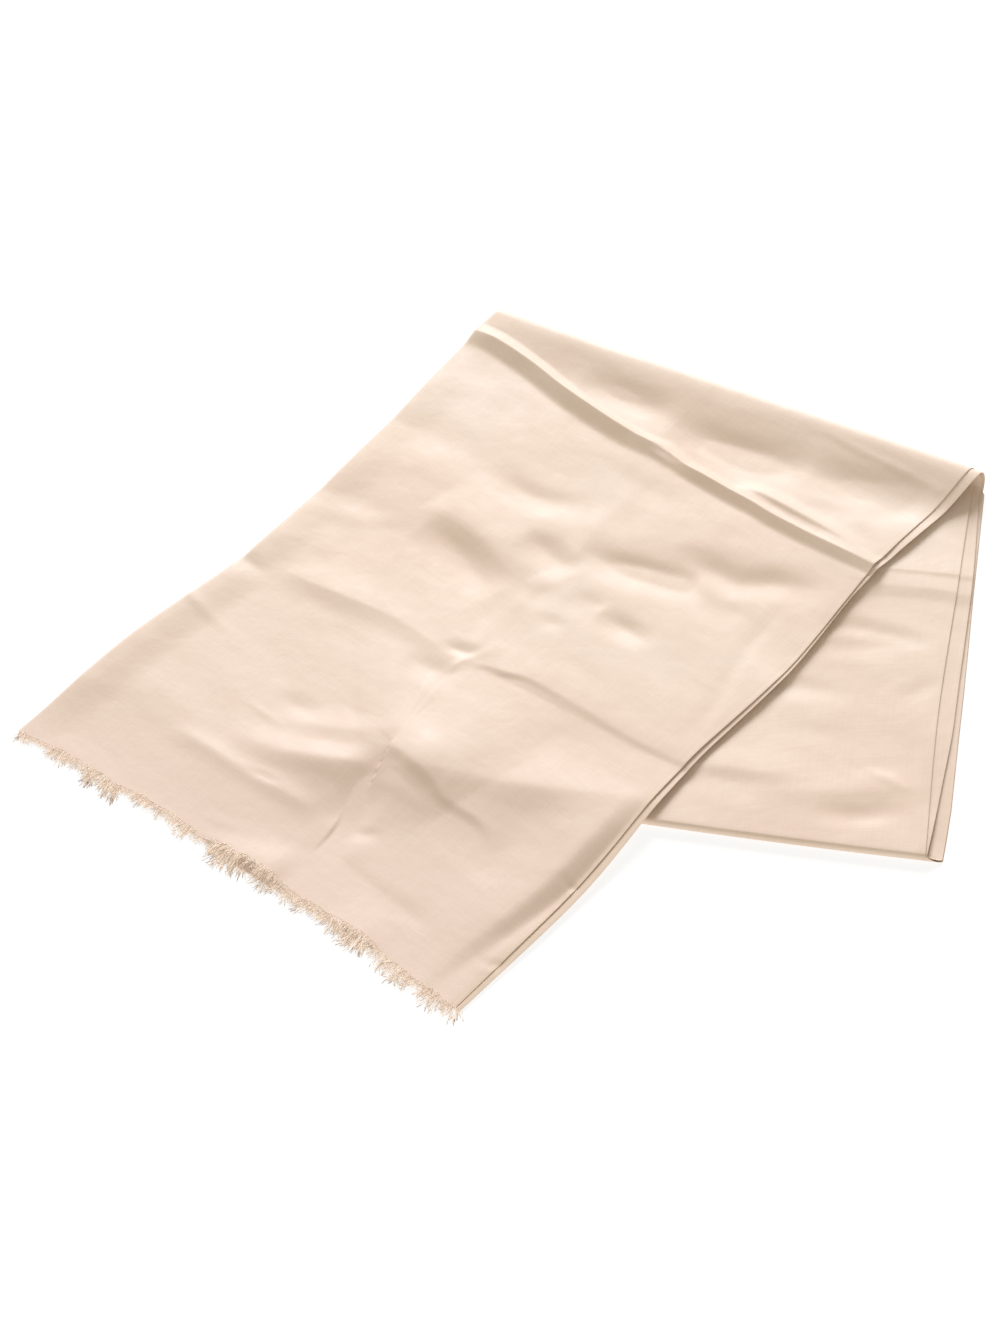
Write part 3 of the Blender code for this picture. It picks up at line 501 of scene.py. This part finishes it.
# silk and thread
silkLook = {
    "light": (0.84, 0.69, 0.575, 1), "deep": (0.79, 0.625, 0.50, 1), "rose": (0.82, 0.655, 0.55, 1),
    "toneScale": 7.0, "toneRange": (0.35, 0.65),  # slow changes between light and deep
    "roseFrom": (0.02, -0.22),                    # y in metres where rose starts and is full
    # painted shade: a darker tan along the open edges, where the layered edges lie in shade, stronger towards
    # the front
    "edgeShadeTan": (0.70, 0.55, 0.41, 1), "edgeShadeTanWidth": 0.008, "edgeShadeTanShare": 0.65,
    "edgeShadeTanFrom": (0.02, -0.14, 0.25, 1.0),     # y where it is faint and full, and how much it counts
    "slubs": (14, 950, 1), "threads": (1100, 18, 1),  # how fine across and along the cloth
    "threadRange": (0.7, 1.3), "threadTone": (0.975, 1.02),
    "roughScale": 60.0, "roughRange": (0.3, 0.7), "roughness": (0.52, 0.61),
    "finish": {"Specular IOR Level": 0.32, "Sheen Weight": 0.14, "Sheen Roughness": 0.3,
               "Sheen Tint": (1.0, 0.93, 0.86, 1)},
    "weave": 0.00045,       # width of a thread and its gap, in metres
    # strength, and depth in metres
    "weaveRelief": (0.25, 0.00004), "threadRelief": (0.3, 0.00006), "crumpleRelief": (0.35, 0.0006),
    "crumpleScale": 110.0, "crumpleDetail": 3.0,
}
threadLook = {
    "colour": (0.93, 0.81, 0.70, 1), "roughness": 0.8,
    "toneScale": 400.0, "toneRange": (0.3, 0.7, 0.86, 1.06),
    # the threads glow a little: painted light standing in for light through the thin silk
    "paintedThreadGlow": 0.09,   # light through the thin silk
}


def feed(tree, node, inputs):  # each input gets its value, or the socket that feeds it
    for key, value in inputs.items():
        if isinstance(value, bpy.types.NodeSocket):
            tree.links.new(value, node.inputs[key])
        else:
            node.inputs[key].default_value = value


def wire(tree, kind, inputs=None, **settings):
    node = tree.nodes.new(kind)
    for key, value in settings.items():
        setattr(node, key, value)
    feed(tree, node, inputs or {})
    return node


def math2(tree, operation, first, second):
    return wire(tree, "ShaderNodeMath", {0: first, 1: second}, operation=operation).outputs[0]


def noise(tree, vector, scale, detail=2.0):
    values = {"Vector": vector, "Scale": scale, "Detail": detail}
    return wire(tree, "ShaderNodeTexNoise", values).outputs["Fac"]


def ranged(tree, value, low, high, lowest=0.0, highest=1.0):
    return wire(tree, "ShaderNodeMapRange", {
        "Value": value, "From Min": low, "From Max": high, "To Min": lowest, "To Max": highest,
    }).outputs["Result"]


def mixed(tree, factor, first, second):
    return wire(tree, "ShaderNodeMix", {"Factor": factor, 6: first, 7: second}, data_type="RGBA").outputs[2]


def newMaterial(name):
    material = bpy.data.materials.new(name)
    material.use_nodes = True
    return material, material.node_tree, material.node_tree.nodes["Principled BSDF"]


def silkMaterial(name):
    material, tree, shader = newMaterial(name)
    cut = wire(tree, "ShaderNodeAttribute", attribute_name="cut").outputs["Vector"]
    place = wire(tree, "ShaderNodeTexCoord").outputs["Object"]

    # colour: slow changes of tone, rosier towards the fringe, painted shade as a darker tan along the open
    # edges, and faint uneven threads
    tone = mixed(tree, ranged(tree, noise(tree, place, silkLook["toneScale"]), *silkLook["toneRange"]),
                 silkLook["light"], silkLook["deep"])
    front = wire(tree, "ShaderNodeSeparateXYZ", {"Vector": place}).outputs["Y"]
    tone = mixed(tree, ranged(tree, front, *silkLook["roseFrom"]), tone, silkLook["rose"])
    # painted shade: a darker tan along the open edges, stronger towards the front
    across = wire(tree, "ShaderNodeSeparateXYZ", {"Vector": cut}).outputs["X"]
    edge = shawl["legWidth"] * cm
    edgeShadeAcross = ranged(tree, across, edge - silkLook["edgeShadeTanWidth"], edge, 0.0, silkLook["edgeShadeTanShare"])
    edgeShadeMask = math2(tree, "MULTIPLY", edgeShadeAcross, ranged(tree, front, *silkLook["edgeShadeTanFrom"]))
    tone = mixed(tree, edgeShadeMask, tone, silkLook["edgeShadeTan"])
    slubs, threads = (
        noise(tree, wire(tree, "ShaderNodeMapping", {"Vector": cut, "Scale": silkLook[key]}).outputs[0],
              1.0, 1.0) for key in ("slubs", "threads"))
    uneven = math2(tree, "ADD", slubs, threads)
    dimming = ranged(tree, uneven, *silkLook["threadRange"], *silkLook["threadTone"])
    tone = wire(tree, "ShaderNodeHueSaturation", {"Value": dimming, "Color": tone}).outputs["Color"]
    roughness = ranged(tree, noise(tree, cut, silkLook["roughScale"]), *silkLook["roughRange"],
                       *silkLook["roughness"])

    # relief: the weave, its uneven threads and a soft crumple
    waves = [wire(tree, "ShaderNodeTexWave", {"Vector": cut, "Scale": math.pi / 10 / silkLook["weave"]},
                  bands_direction=way).outputs["Fac"] for way in ("X", "Y")]
    crumpled = noise(tree, cut, silkLook["crumpleScale"], silkLook["crumpleDetail"])
    relief = {}
    for height, key in ((math2(tree, "MAXIMUM", *waves), "weaveRelief"), (uneven, "threadRelief"),
                        (crumpled, "crumpleRelief")):
        strength, depth = silkLook[key]
        bump = wire(tree, "ShaderNodeBump",
                    {"Height": height, "Strength": strength, "Distance": depth, **relief})
        relief = {"Normal": bump.outputs["Normal"]}
    feed(tree, shader, {"Base Color": tone, "Roughness": roughness, **relief, **silkLook["finish"]})
    return material


def threadMaterial(name):
    material, tree, shader = newMaterial(name)
    place = wire(tree, "ShaderNodeTexCoord").outputs["Object"]
    shade = ranged(tree, noise(tree, place, threadLook["toneScale"]), *threadLook["toneRange"])
    tone = wire(tree, "ShaderNodeHueSaturation", {"Value": shade, "Color": threadLook["colour"]})
    # a faint glow in the thread colour: painted light for light passing through the thin threads
    feed(tree, shader, {
        "Base Color": tone.outputs["Color"], "Roughness": threadLook["roughness"],
        "Emission Color": threadLook["colour"], "Emission Strength": threadLook["paintedThreadGlow"]})
    return material


silk = silkMaterial("champagneSilk")
thread = threadMaterial("silkThread")
print("silk materials made")


# cloth as thin shells
sharpAngle = 55             # degrees, past which a bend isn't shaded smooth


def clothPiece(name, points, distances):
    rows, columns = points.shape[:2]
    steps = np.linalg.norm(np.diff(points, axis=0), axis=2)
    along = np.vstack((np.zeros(columns), np.cumsum(steps, axis=0)))
    cut = np.dstack((np.broadcast_to(distances, (rows, columns)) * cm, along, np.zeros((rows, columns))))
    index = np.arange(rows * columns).reshape(rows, columns)
    faces = np.stack((index[:-1, :-1], index[:-1, 1:], index[1:, 1:], index[1:, :-1]), axis=-1)
    mesh = bpy.data.meshes.new(name)
    mesh.from_pydata(points.reshape(-1, 3).tolist(), [], faces.reshape(-1, 4).tolist())
    mesh.attributes.new("cut", "FLOAT_VECTOR", "POINT").data.foreach_set("vector", cut.ravel())
    mesh.materials.append(silk)
    piece = newObject(name, mesh)
    wall = piece.modifiers.new("cloth", "SOLIDIFY")
    wall.thickness = shawl["cloth"] * mm
    wall.offset = -1
    makePlain(piece)
    piece.data.set_sharp_from_angle(angle=math.radians(sharpAngle))
    for vertex in piece.data.vertices:
        vertex.co.z = max(vertex.co.z, 0)
    return piece


def makePlain(piece):  # the evaluated object becomes a plain mesh
    mesh = bpy.data.meshes.new_from_object(piece.evaluated_get(bpy.context.evaluated_depsgraph_get()))
    piece.modifiers.clear()
    piece.data = mesh
    mesh.shade_smooth()


# distances from the open edge in centimetres, and rise in millimetres
hem = {
    "columns": (0.6, 0.48, 0.38, 0.32, 0.28, 0.2, 0.12, 0.06, 0.02, 0),
    "width": 0.3, "rise": 0.06, "innerSlope": 0.08, "outerSlope": 0.06,
    "edgeRise": 0.2,        # it doesn't slope down all the way at its edge
}


def withHem(points, fromEdge):  # the rolled hem makes the edge a little thicker
    rise = (hem["rise"] * mm * softStep((hem["width"] - fromEdge) / hem["innerSlope"])
            * softStep(fromEdge / hem["outerSlope"] + hem["edgeRise"]))
    normals = np.cross(np.gradient(points, axis=1), np.gradient(points, axis=0))
    normals = normals / np.maximum(np.linalg.norm(normals, axis=2, keepdims=True), 1e-12)
    return points + normals * rise[..., None]


# the nets that the sheets are made on, in stations along them and centimetres across. Rows come
# in stretches of (start, end, spacing, closer zones), and so do the columns from side to side.
topSheet = {
    "rows": ((0, 2, 0.0105, (0.47, 0.15, 0.0075), (0, 0.02, 0.005), (1, 0.06, 0.005), (2, 0.06, 0.004)),
             (2, 3, 0.026, (2, 0.1, 0.01))),
    "roundRows": 22, "floorRows": (4.3, 4.6),  # round the last fold, and on the floor behind it
    "middle": 19.7,         # the lengthwise crease runs down this column
    "spacing": 0.29, "closer": ((0.3, 1.2, 0.12), (19.7, 1.1, 0.09), (24, 3, 0.2), (35.5, 1, 0.15)),
    "tuck": (0.9, 4),       # width and columns of what turns under the soft fold
    "endSeed": 51,
}
underSheets = {
    "rows": ((0, 2, 0.02, (0, 0.05, 0.008), (1, 0.05, 0.008), (2, 0.05, 0.008)), (2, 3, 0.05)),
    "roundRows": 16, "floorRows": (4.3,),
    "tuck": (3, 5),         # width and columns of the lowest layer beside the soft fold
    "columns": (32.5, 0.9, 0.3),  # wider apart up to here, closer past it
    "secondStart": 0.95, "secondEndSeed": 61, "secondSeed": 21,
    "secondEndLess": 0.06,  # its frayed end is this much shorter than the one under it
    # near its edge it lies closer to the top layer: by how much, how far in, and over what width
    "closeUp": (0.11, 3, 2.6),
    "underLess": 0.16,      # the lowest layers' edges stand out this much less
    "underEndSeed": 71, "underSeed": 34,
}
lowerSheets = {
    "floorRows": (-0.01, 1, 0.045), "bendRows": 12, "insideRows": 14,
    "crease": (2.5, 0.05, 0.5),  # closer rows there: place, reach and share of the spacing
    "hidden": (17, 1.2),    # up to here across, the columns are mostly hidden and this wide apart
    "columnShare": 50,      # past it their spacing in centimetres is this times the rows'
    "turnOver": 0.9,        # the edge goes from its place below to that on top over this
    "hemFrom": 1.6,
}
softFoldNet = {"bend": 0.3, "bendColumns": 11}
standing = {"from": 8, "over": 7}  # the lower layers stand out more and more towards the open edge
# height of the hills of a frayed end, and their size in metres
raggedHills = ((0.13, 0.011), (0.07, 0.004))
stackHills = {"height": 0.05, "size": 0.03, "station": 0.2}  # share of the stack, size and step in metres


def netRows(sheet):
    along = [unevenSteps(*stretch)[:-1] for stretch in sheet["rows"]]
    return np.concatenate(along + [np.linspace(3, 4, sheet["roundRows"]), sheet["floorRows"]])[:, None]


def netColumns(start, change, wide, fine):
    edge = shawl["legWidth"] - np.array(hem["columns"])
    return np.concatenate((unevenSteps(start, change, wide)[:-1], unevenSteps(change, edge[0], fine)[:-1],
                           edge))


def softFoldColumns(outer, inner, width, tuckColumns):
    # columns round a lengthwise fold: under it, round it and back over; distances and depths
    bend = softFoldNet["bend"]
    under = np.linspace(width, bend, tuckColumns)
    turn = np.linspace(-math.pi / 2, math.pi / 2, softFoldNet["bendColumns"])
    middle, half = (outer + inner) / 2, (inner - outer) / 2
    distances = np.concatenate((under[:-1], bend - bend * np.cos(turn)))
    depths = np.concatenate((np.full(len(under) - 1, inner), middle - half * np.sin(turn)))
    return distances, depths


def towardsEdge(columns):
    return softStep((columns - shawl["legWidth"] + standing["from"]) / standing["over"])


def endStations(rows, table, distances, seed, less=0.0):
    # stations of a layer whose uneven frayed end stands out as far as the table says
    along = distances * cm
    uneven = sum(height * hills(along, along * 0, size, seed + k)
                 for k, (height, size) in enumerate(raggedHills))
    out = smoothThrough(upperLeg[table], 1, np.clip(distances / shawl["legWidth"], 0, 1)) + uneven
    return rows - (out - less) * np.clip(1 - rows / upperLeg["endReach"], 0, 1) / shawl["creaseStep"]


def unevenStack(rows, columns, seed):  # how unevenly the layers lie on each other, as a share of the stack
    return stackHills["height"] * hills(rows * stackHills["station"], columns * 0, stackHills["size"], seed)


def topLayerLift(stations, shares):
    total = 0
    for start, peak, end, height in upperLeg["lifts"]:
        across = np.where(shares < peak, softStep((shares - start) / (peak - start)),
                          softStep((end - shares) / (end - peak)))
        total = total + height * mm * across * softStep(1 - stations / upperLeg["liftReach"])
    return total


def upperLegTop():
    width, middle = shawl["legWidth"], topSheet["middle"]
    rows = netRows(topSheet)
    foldAt, foldDepth = softFoldColumns(0, upperLeg["depths"]["tuck"], *topSheet["tuck"])
    over = unevenSteps(softFoldNet["bend"], width - hem["columns"][0], topSheet["spacing"],
                       *topSheet["closer"])[1:-1]
    columns = np.concatenate((foldAt, over, width - np.array(hem["columns"])))[None]
    depths = np.concatenate((foldDepth, np.zeros(over.size + len(hem["columns"]))))[None]
    shift = smoothThrough(upperLeg["creaseAcross"], 1, np.minimum(rows, 3)) - middle
    distances = columns + shift * softStep(np.minimum(columns / middle, (width - columns) / (width - middle)))
    points = upperLegPoints(endStations(rows, "topEnd", distances, topSheet["endSeed"]), distances, depths)
    points[..., 2] += topLayerLift(rows, distances / width)
    points = withHem(points, width - distances)
    return clothPiece("upperLegTop", points, distances), points


def upperLegSecond():
    width = shawl["legWidth"]
    rows = netRows(underSheets)
    columns = netColumns(underSheets["secondStart"], *underSheets["columns"])[None]
    distances = columns + smoothThrough(upperLeg["openEdges"], 1, rows) * towardsEdge(columns)
    closer, start, reach = underSheets["closeUp"]
    depth = upperLeg["depths"]["second"] - closer * softStep((columns - width + start) / reach)
    depth = depth + unevenStack(rows, columns, underSheets["secondSeed"])
    stations = endStations(rows, "frayedEnd", columns, underSheets["secondEndSeed"],
                           underSheets["secondEndLess"])
    points = upperLegPoints(stations, distances, depth)
    points = withHem(points, np.broadcast_to(width - columns, points.shape[:2]))
    return clothPiece("upperLegSecond", points, distances), points


def upperLegUnder():
    width, depths = shawl["legWidth"], upperLeg["depths"]
    rows = netRows(underSheets)
    foldAt, foldDepth = softFoldColumns(depths["third"], depths["fourth"], *underSheets["tuck"])
    inner = netColumns(underSheets["tuck"][0], *underSheets["columns"])
    columns = np.concatenate((inner[::-1], foldAt[1:], inner[2:]))[None]
    depth = np.concatenate((np.full(inner.size, depths["fourth"]), foldDepth[1:],
                            np.full(inner.size - 2, depths["third"])))[None]
    lowest = np.arange(columns.size)[None] < inner.size
    out = smoothThrough(upperLeg["openEdges"], 1, rows) - underSheets["underLess"]
    distances = columns + out * towardsEdge(columns)
    uneven = unevenStack(rows, columns, underSheets["underSeed"]) * (1 - lowest)
    depth = np.minimum(depth + uneven, depths["fourth"])
    stations = endStations(rows, "frayedEnd", columns, underSheets["underEndSeed"])
    points = upperLegPoints(stations, distances, depth)
    points = withHem(points, np.where(lowest, 1.0, width - columns) + rows * 0)
    return clothPiece("upperLegUnder", points, distances), points


def lowerLegSheet(name, depth, topOut, floorOut, fine):
    # a layer of the lower leg, from under it round the middle fold, over it and into the last fold
    place, reach, share = lowerSheets["crease"]
    route = np.concatenate((
        unevenSteps(*lowerSheets["floorRows"])[:-1], np.linspace(1, 2, lowerSheets["bendRows"])[:-1],
        unevenSteps(2, 3, fine, (place, reach, fine * share))[:-1],
        np.linspace(3, 4, lowerSheets["insideRows"])))[:, None]
    columns = netColumns(0, *lowerSheets["hidden"], fine * lowerSheets["columnShare"])[None]
    stations = lowerStations(route)
    onTop = softStep((route - 1) / lowerSheets["turnOver"])
    above, below = topOut(stations), floorOut(stations)
    distances = columns + (below + (above - below) * onTop) * towardsEdge(columns)
    points = lowerLegPoints(route, distances, depth)
    points = withHem(points, np.where(route > lowerSheets["hemFrom"], shawl["legWidth"] - columns, 1.0))
    return clothPiece(name, points, distances)


def standOut(column, less=0.0):
    return lambda stations: smoothThrough(lowerLeg["openEdges"], column, stations) - less


top, topNet = upperLegTop()
second, secondNet = upperLegSecond()
under, underNet = upperLegUnder()
print("upper leg made")
outer = lowerLegSheet("lowerLegTop", 0.0, lambda stations: stations * 0, standOut(2), 0.0056)
inner = lowerLegSheet("lowerLegInner", lowerLeg["innerDepth"], standOut(1), standOut(2, 0.06), 0.011)
print("lower leg made")


# the frayed fringe
fray = {
    # number of threads, their length in metres, and how far a clump of them leans, in radians
    "upperTopFringe": {"Threads": 1500, "Shortest": 0.0025, "Longest": 0.0165, "Lean": 0.6, "Seed": 4},
    "upperUnderFringe": {"Threads": 1200, "Shortest": 0.002, "Longest": 0.0145, "Lean": 0.7, "Seed": 9},
    "thickness": 0.018,     # of a thread against its length
    "taper": 0.75, "floor": 0.0003,  # how much thinner its end is, and its lowest height
    # middle and end of each kind of bow, along a thread of length 1
    "bows": (((0.45, 0.05, 0.06), (1.0, 0.14, -0.10)), ((0.5, -0.08, 0.03), (0.95, -0.2, -0.16)),
             ((0.4, 0.1, -0.02), (0.9, -0.06, -0.22)), ((0.55, -0.03, 0.1), (1.0, 0.05, 0.02))),
    # scale of the noise, the part of it that counts, and what that gives
    "clumps": (190.0, (0.3, 0.7, -1.0, 1.0)), "tufts": (65.0, (0.35, 0.65, 0.12, 1.0)),
    "yaw": (-0.35, 0.35), "pitch": (-0.12, 0.3), "roll": (-0.6, 0.6),  # at random, in radians
    "mostlyShort": 2.0,     # the power that makes most threads short
}
socketKinds = {"Threads": "NodeSocketInt", "Seed": "NodeSocketInt", "Outward": "NodeSocketVector",
               "Finish": "NodeSocketMaterial"}


def newTree(name, inputs):
    tree = bpy.data.node_groups.new(name, "GeometryNodeTree")
    tree.interface.new_socket("Geometry", in_out="INPUT", socket_type="NodeSocketGeometry")
    tree.interface.new_socket("Geometry", in_out="OUTPUT", socket_type="NodeSocketGeometry")
    for key in inputs:
        tree.interface.new_socket(key, in_out="INPUT", socket_type=socketKinds.get(key, "NodeSocketFloat"))
    return tree, tree.nodes.new("NodeGroupInput").outputs, tree.nodes.new("NodeGroupOutput").inputs


def randomNumber(tree, ends, seed, shift, kind="FLOAT"):
    number = wire(tree, "FunctionNodeRandomValue", {"Seed": math2(tree, "ADD", seed, shift)}, data_type=kind)
    wanted = "VALUE" if kind == "FLOAT" else kind
    low, high = (s for s in number.inputs if s.name in ("Min", "Max") and s.type == wanted)
    low.default_value, high.default_value = ends
    return next(s for s in number.outputs if s.type == wanted)


def bowedThreads(tree):  # one thread of each kind of bow, thinner towards its end
    join = tree.nodes.new("GeometryNodeJoinGeometry")
    for middle, end in fray["bows"]:
        bow = wire(tree, "GeometryNodeCurveQuadraticBezier",
                   {"Resolution": 4, "Start": (0, 0, 0), "Middle": middle, "End": end})
        along = tree.nodes.new("GeometryNodeSplineParameter").outputs["Factor"]
        taper = math2(tree, "SUBTRACT", 1.0, math2(tree, "MULTIPLY", along, fray["taper"]))
        thin = wire(tree, "GeometryNodeSetCurveRadius", {"Curve": bow.outputs[0], "Radius": taper})
        ring = wire(tree, "GeometryNodeCurvePrimitiveCircle", {"Resolution": 3, "Radius": fray["thickness"]})
        tube = wire(tree, "GeometryNodeCurveToMesh",
                    {"Curve": thin.outputs[0], "Profile Curve": ring.outputs[0]})
        strand = wire(tree, "GeometryNodeGeometryToInstance", {"Geometry": tube.outputs[0]})
        tree.links.new(strand.outputs[0], join.inputs[0])
    return join.outputs[0]


def frayTree():
    tree, given, result = newTree("frayedThreads",
                                  ("Threads", "Shortest", "Longest", "Lean", "Outward", "Seed", "Finish"))
    bows, seed = bowedThreads(tree), given["Seed"]
    edge = wire(tree, "GeometryNodeMeshToCurve", {"Mesh": given["Geometry"]})
    even = wire(tree, "GeometryNodeResampleCurve", {"Curve": edge.outputs[0], "Count": given["Threads"]})
    spot = wire(tree, "GeometryNodeInputPosition").outputs[0]
    clump, tuft = (ranged(tree, noise(tree, spot, scale, 1.0), *ends)
                   for scale, ends in (fray["clumps"], fray["tufts"]))
    yaw = math2(tree, "ADD", math2(tree, "MULTIPLY", clump, given["Lean"]),
                randomNumber(tree, fray["yaw"], seed, 1))
    turned = wire(tree, "ShaderNodeCombineXYZ", {
        "X": randomNumber(tree, fray["roll"], seed, 3), "Y": randomNumber(tree, fray["pitch"], seed, 2),
        "Z": yaw})
    facing = wire(tree, "FunctionNodeAlignRotationToVector", {"Vector": given["Outward"]}, axis="X")
    local = wire(tree, "FunctionNodeEulerToRotation", {"Euler": turned.outputs[0]})
    aimed = wire(tree, "FunctionNodeRotateRotation",
                 {"Rotation": facing.outputs[0], "Rotate By": local.outputs[0]}, rotation_space="LOCAL")
    share = math2(tree, "POWER", randomNumber(tree, (0, 1), seed, 4), fray["mostlyShort"])
    share = math2(tree, "MULTIPLY", share, tuft)
    spread = math2(tree, "SUBTRACT", given["Longest"], given["Shortest"])
    length = math2(tree, "ADD", given["Shortest"], math2(tree, "MULTIPLY", spread, share))
    kind = randomNumber(tree, (0, len(fray["bows"]) - 1), seed, 0, "INT")
    strands = wire(tree, "GeometryNodeInstanceOnPoints", {
        "Points": even.outputs[0], "Instance": bows, "Pick Instance": True, "Instance Index": kind,
        "Rotation": aimed.outputs[0], "Scale": length})
    real = wire(tree, "GeometryNodeRealizeInstances", {"Geometry": strands.outputs[0]})
    parts = wire(tree, "ShaderNodeSeparateXYZ", {"Vector": spot}).outputs
    height = math2(tree, "MAXIMUM", parts["Z"], fray["floor"])
    raised = wire(tree, "ShaderNodeCombineXYZ", {"X": parts["X"], "Y": parts["Y"], "Z": height})
    placed = wire(tree, "GeometryNodeSetPosition",
                  {"Geometry": real.outputs[0], "Position": raised.outputs[0]})
    dyed = wire(tree, "GeometryNodeSetMaterial", {"Geometry": placed.outputs[0], "Material": given["Finish"]})
    tree.links.new(dyed.outputs[0], result[0])
    return tree


def edgeLines(name, lines):  # open lines of points as one mesh of edges
    mesh = bpy.data.meshes.new(name)
    edges, count = [], 0
    for line in lines:
        edges += [(count + i, count + i + 1) for i in range(len(line) - 1)]
        count += len(line)
    mesh.from_pydata(np.vstack(lines).tolist(), edges, [])
    return newObject(name, mesh)


def growNodes(piece, tree, values):
    growth = piece.modifiers.new(tree.name, "NODES")
    growth.node_group = tree
    names = {item.name: item.identifier for item in tree.interface.items_tree
             if item.item_type == "SOCKET" and item.in_out == "INPUT"}
    for key, value in values.items():
        growth[names[key]] = value
    makePlain(piece)
    piece.data.shade_flat()
    return piece


def endLine(net, inward, above):  # a line across a net, some rows in from its frayed end
    row = int(inward)
    line = net[row] + (net[row + 1] - net[row]) * (inward - row)
    return line[:, :3] + np.array((0, 0, above))


def outwardOf(net):
    run = net[0, -1, :2] - net[0, 0, :2]
    forward = np.array((run[1], -run[0])) / np.hypot(*run)
    return forward[0], forward[1], 0.0


threads = frayTree()
# columns of the top layer that lie under its soft fold
columnsUnderFold = topSheet["tuck"][1] - 1 + softFoldNet["bendColumns"]
underHalf = underNet.shape[1] // 2
# lines that the threads start from: rows in from the frayed end, and metres above the cloth
topStarts = ((2.2, 0.0001), (0.6, 0.0), (0.1, -0.0002))
lowerStarts = ((1.2, 0.0001), (0.1, -0.0001))
topOpen = topNet[:, columnsUnderFold:]
topEnds = [endLine(topOpen, *start) for start in topStarts]
topFringe = growNodes(edgeLines("upperTopFringe", topEnds), threads,
                      {**fray["upperTopFringe"], "Outward": outwardOf(topOpen), "Finish": thread})
lowerEnds = [endLine(net, *start) for net in (secondNet, underNet[:, underHalf:]) for start in lowerStarts]
underFringe = growNodes(edgeLines("upperUnderFringe", lowerEnds), threads,
                        {**fray["upperUnderFringe"], "Outward": outwardOf(secondNet), "Finish": thread})
print("fringe grown")


# each piece hangs from the root, and the frame's solids it stands for are hidden
for piece, slot, nodes in (
        (top, "silk_top", ("upper_leg_top_layer",)), (second, "silk_under", ()),
        (under, "silk_under", ("upper_leg_under_layers",)), (outer, "silk_top", ("lower_leg_top_layer",)),
        (inner, "silk_under", ("lower_leg_under_layers",)),
        (topFringe, "silk_fringe", ("upper_leg_top_fringe",)),
        (underFringe, "silk_fringe", ("upper_leg_under_fringe",))):
    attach(piece, "root")
    if nodes:
        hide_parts(*nodes)


# floor and light
studio = {
    "floorSize": 14, "floorZ": -0.0002,
    "paper": {"Base Color": (0.25, 0.25, 0.25, 1), "Roughness": 0.9,
              "Emission Color": (1, 1, 1, 1), "Emission Strength": 0.8},
    "sky": {"Color": (0.995, 0.94, 0.80, 1), "Strength": 0.45},
    # place, size, power, colour
    "key": ((-4.7, 9.7, 5.25), 4.5, 1750, (0.99, 0.995, 1.065)),
    "fill": ((2.55, -5.25, 1.5), 3.0, 90, (1.0, 0.98, 0.93)),
}


def makeStudio():
    scene = bpy.context.scene
    scene.view_settings.view_transform = "Standard"
    bpy.ops.mesh.primitive_plane_add(size=studio["floorSize"], location=(0, 0, studio["floorZ"]))
    floor = bpy.context.object
    floor.name = "floor"
    paper, tree, shader = newMaterial("palePaper")
    feed(tree, shader, studio["paper"])
    floor.data.materials.append(paper)
    world = scene.world or bpy.data.worlds.new("studio")
    scene.world = world
    world.use_nodes = True
    feed(world.node_tree, world.node_tree.nodes["Background"], studio["sky"])
    for name in ("key", "fill"):
        place, size, power, colour = studio[name]
        data = bpy.data.lights.new(name, "AREA")
        data.size, data.energy, data.color = size, power, colour
        lamp = newObject(name, data)
        lamp.location = place
        lamp.visible_camera = False
        lamp.rotation_euler = (-Vector(place)).to_track_quat("-Z", "Y").to_euler()


makeStudio()
print("studio lit")
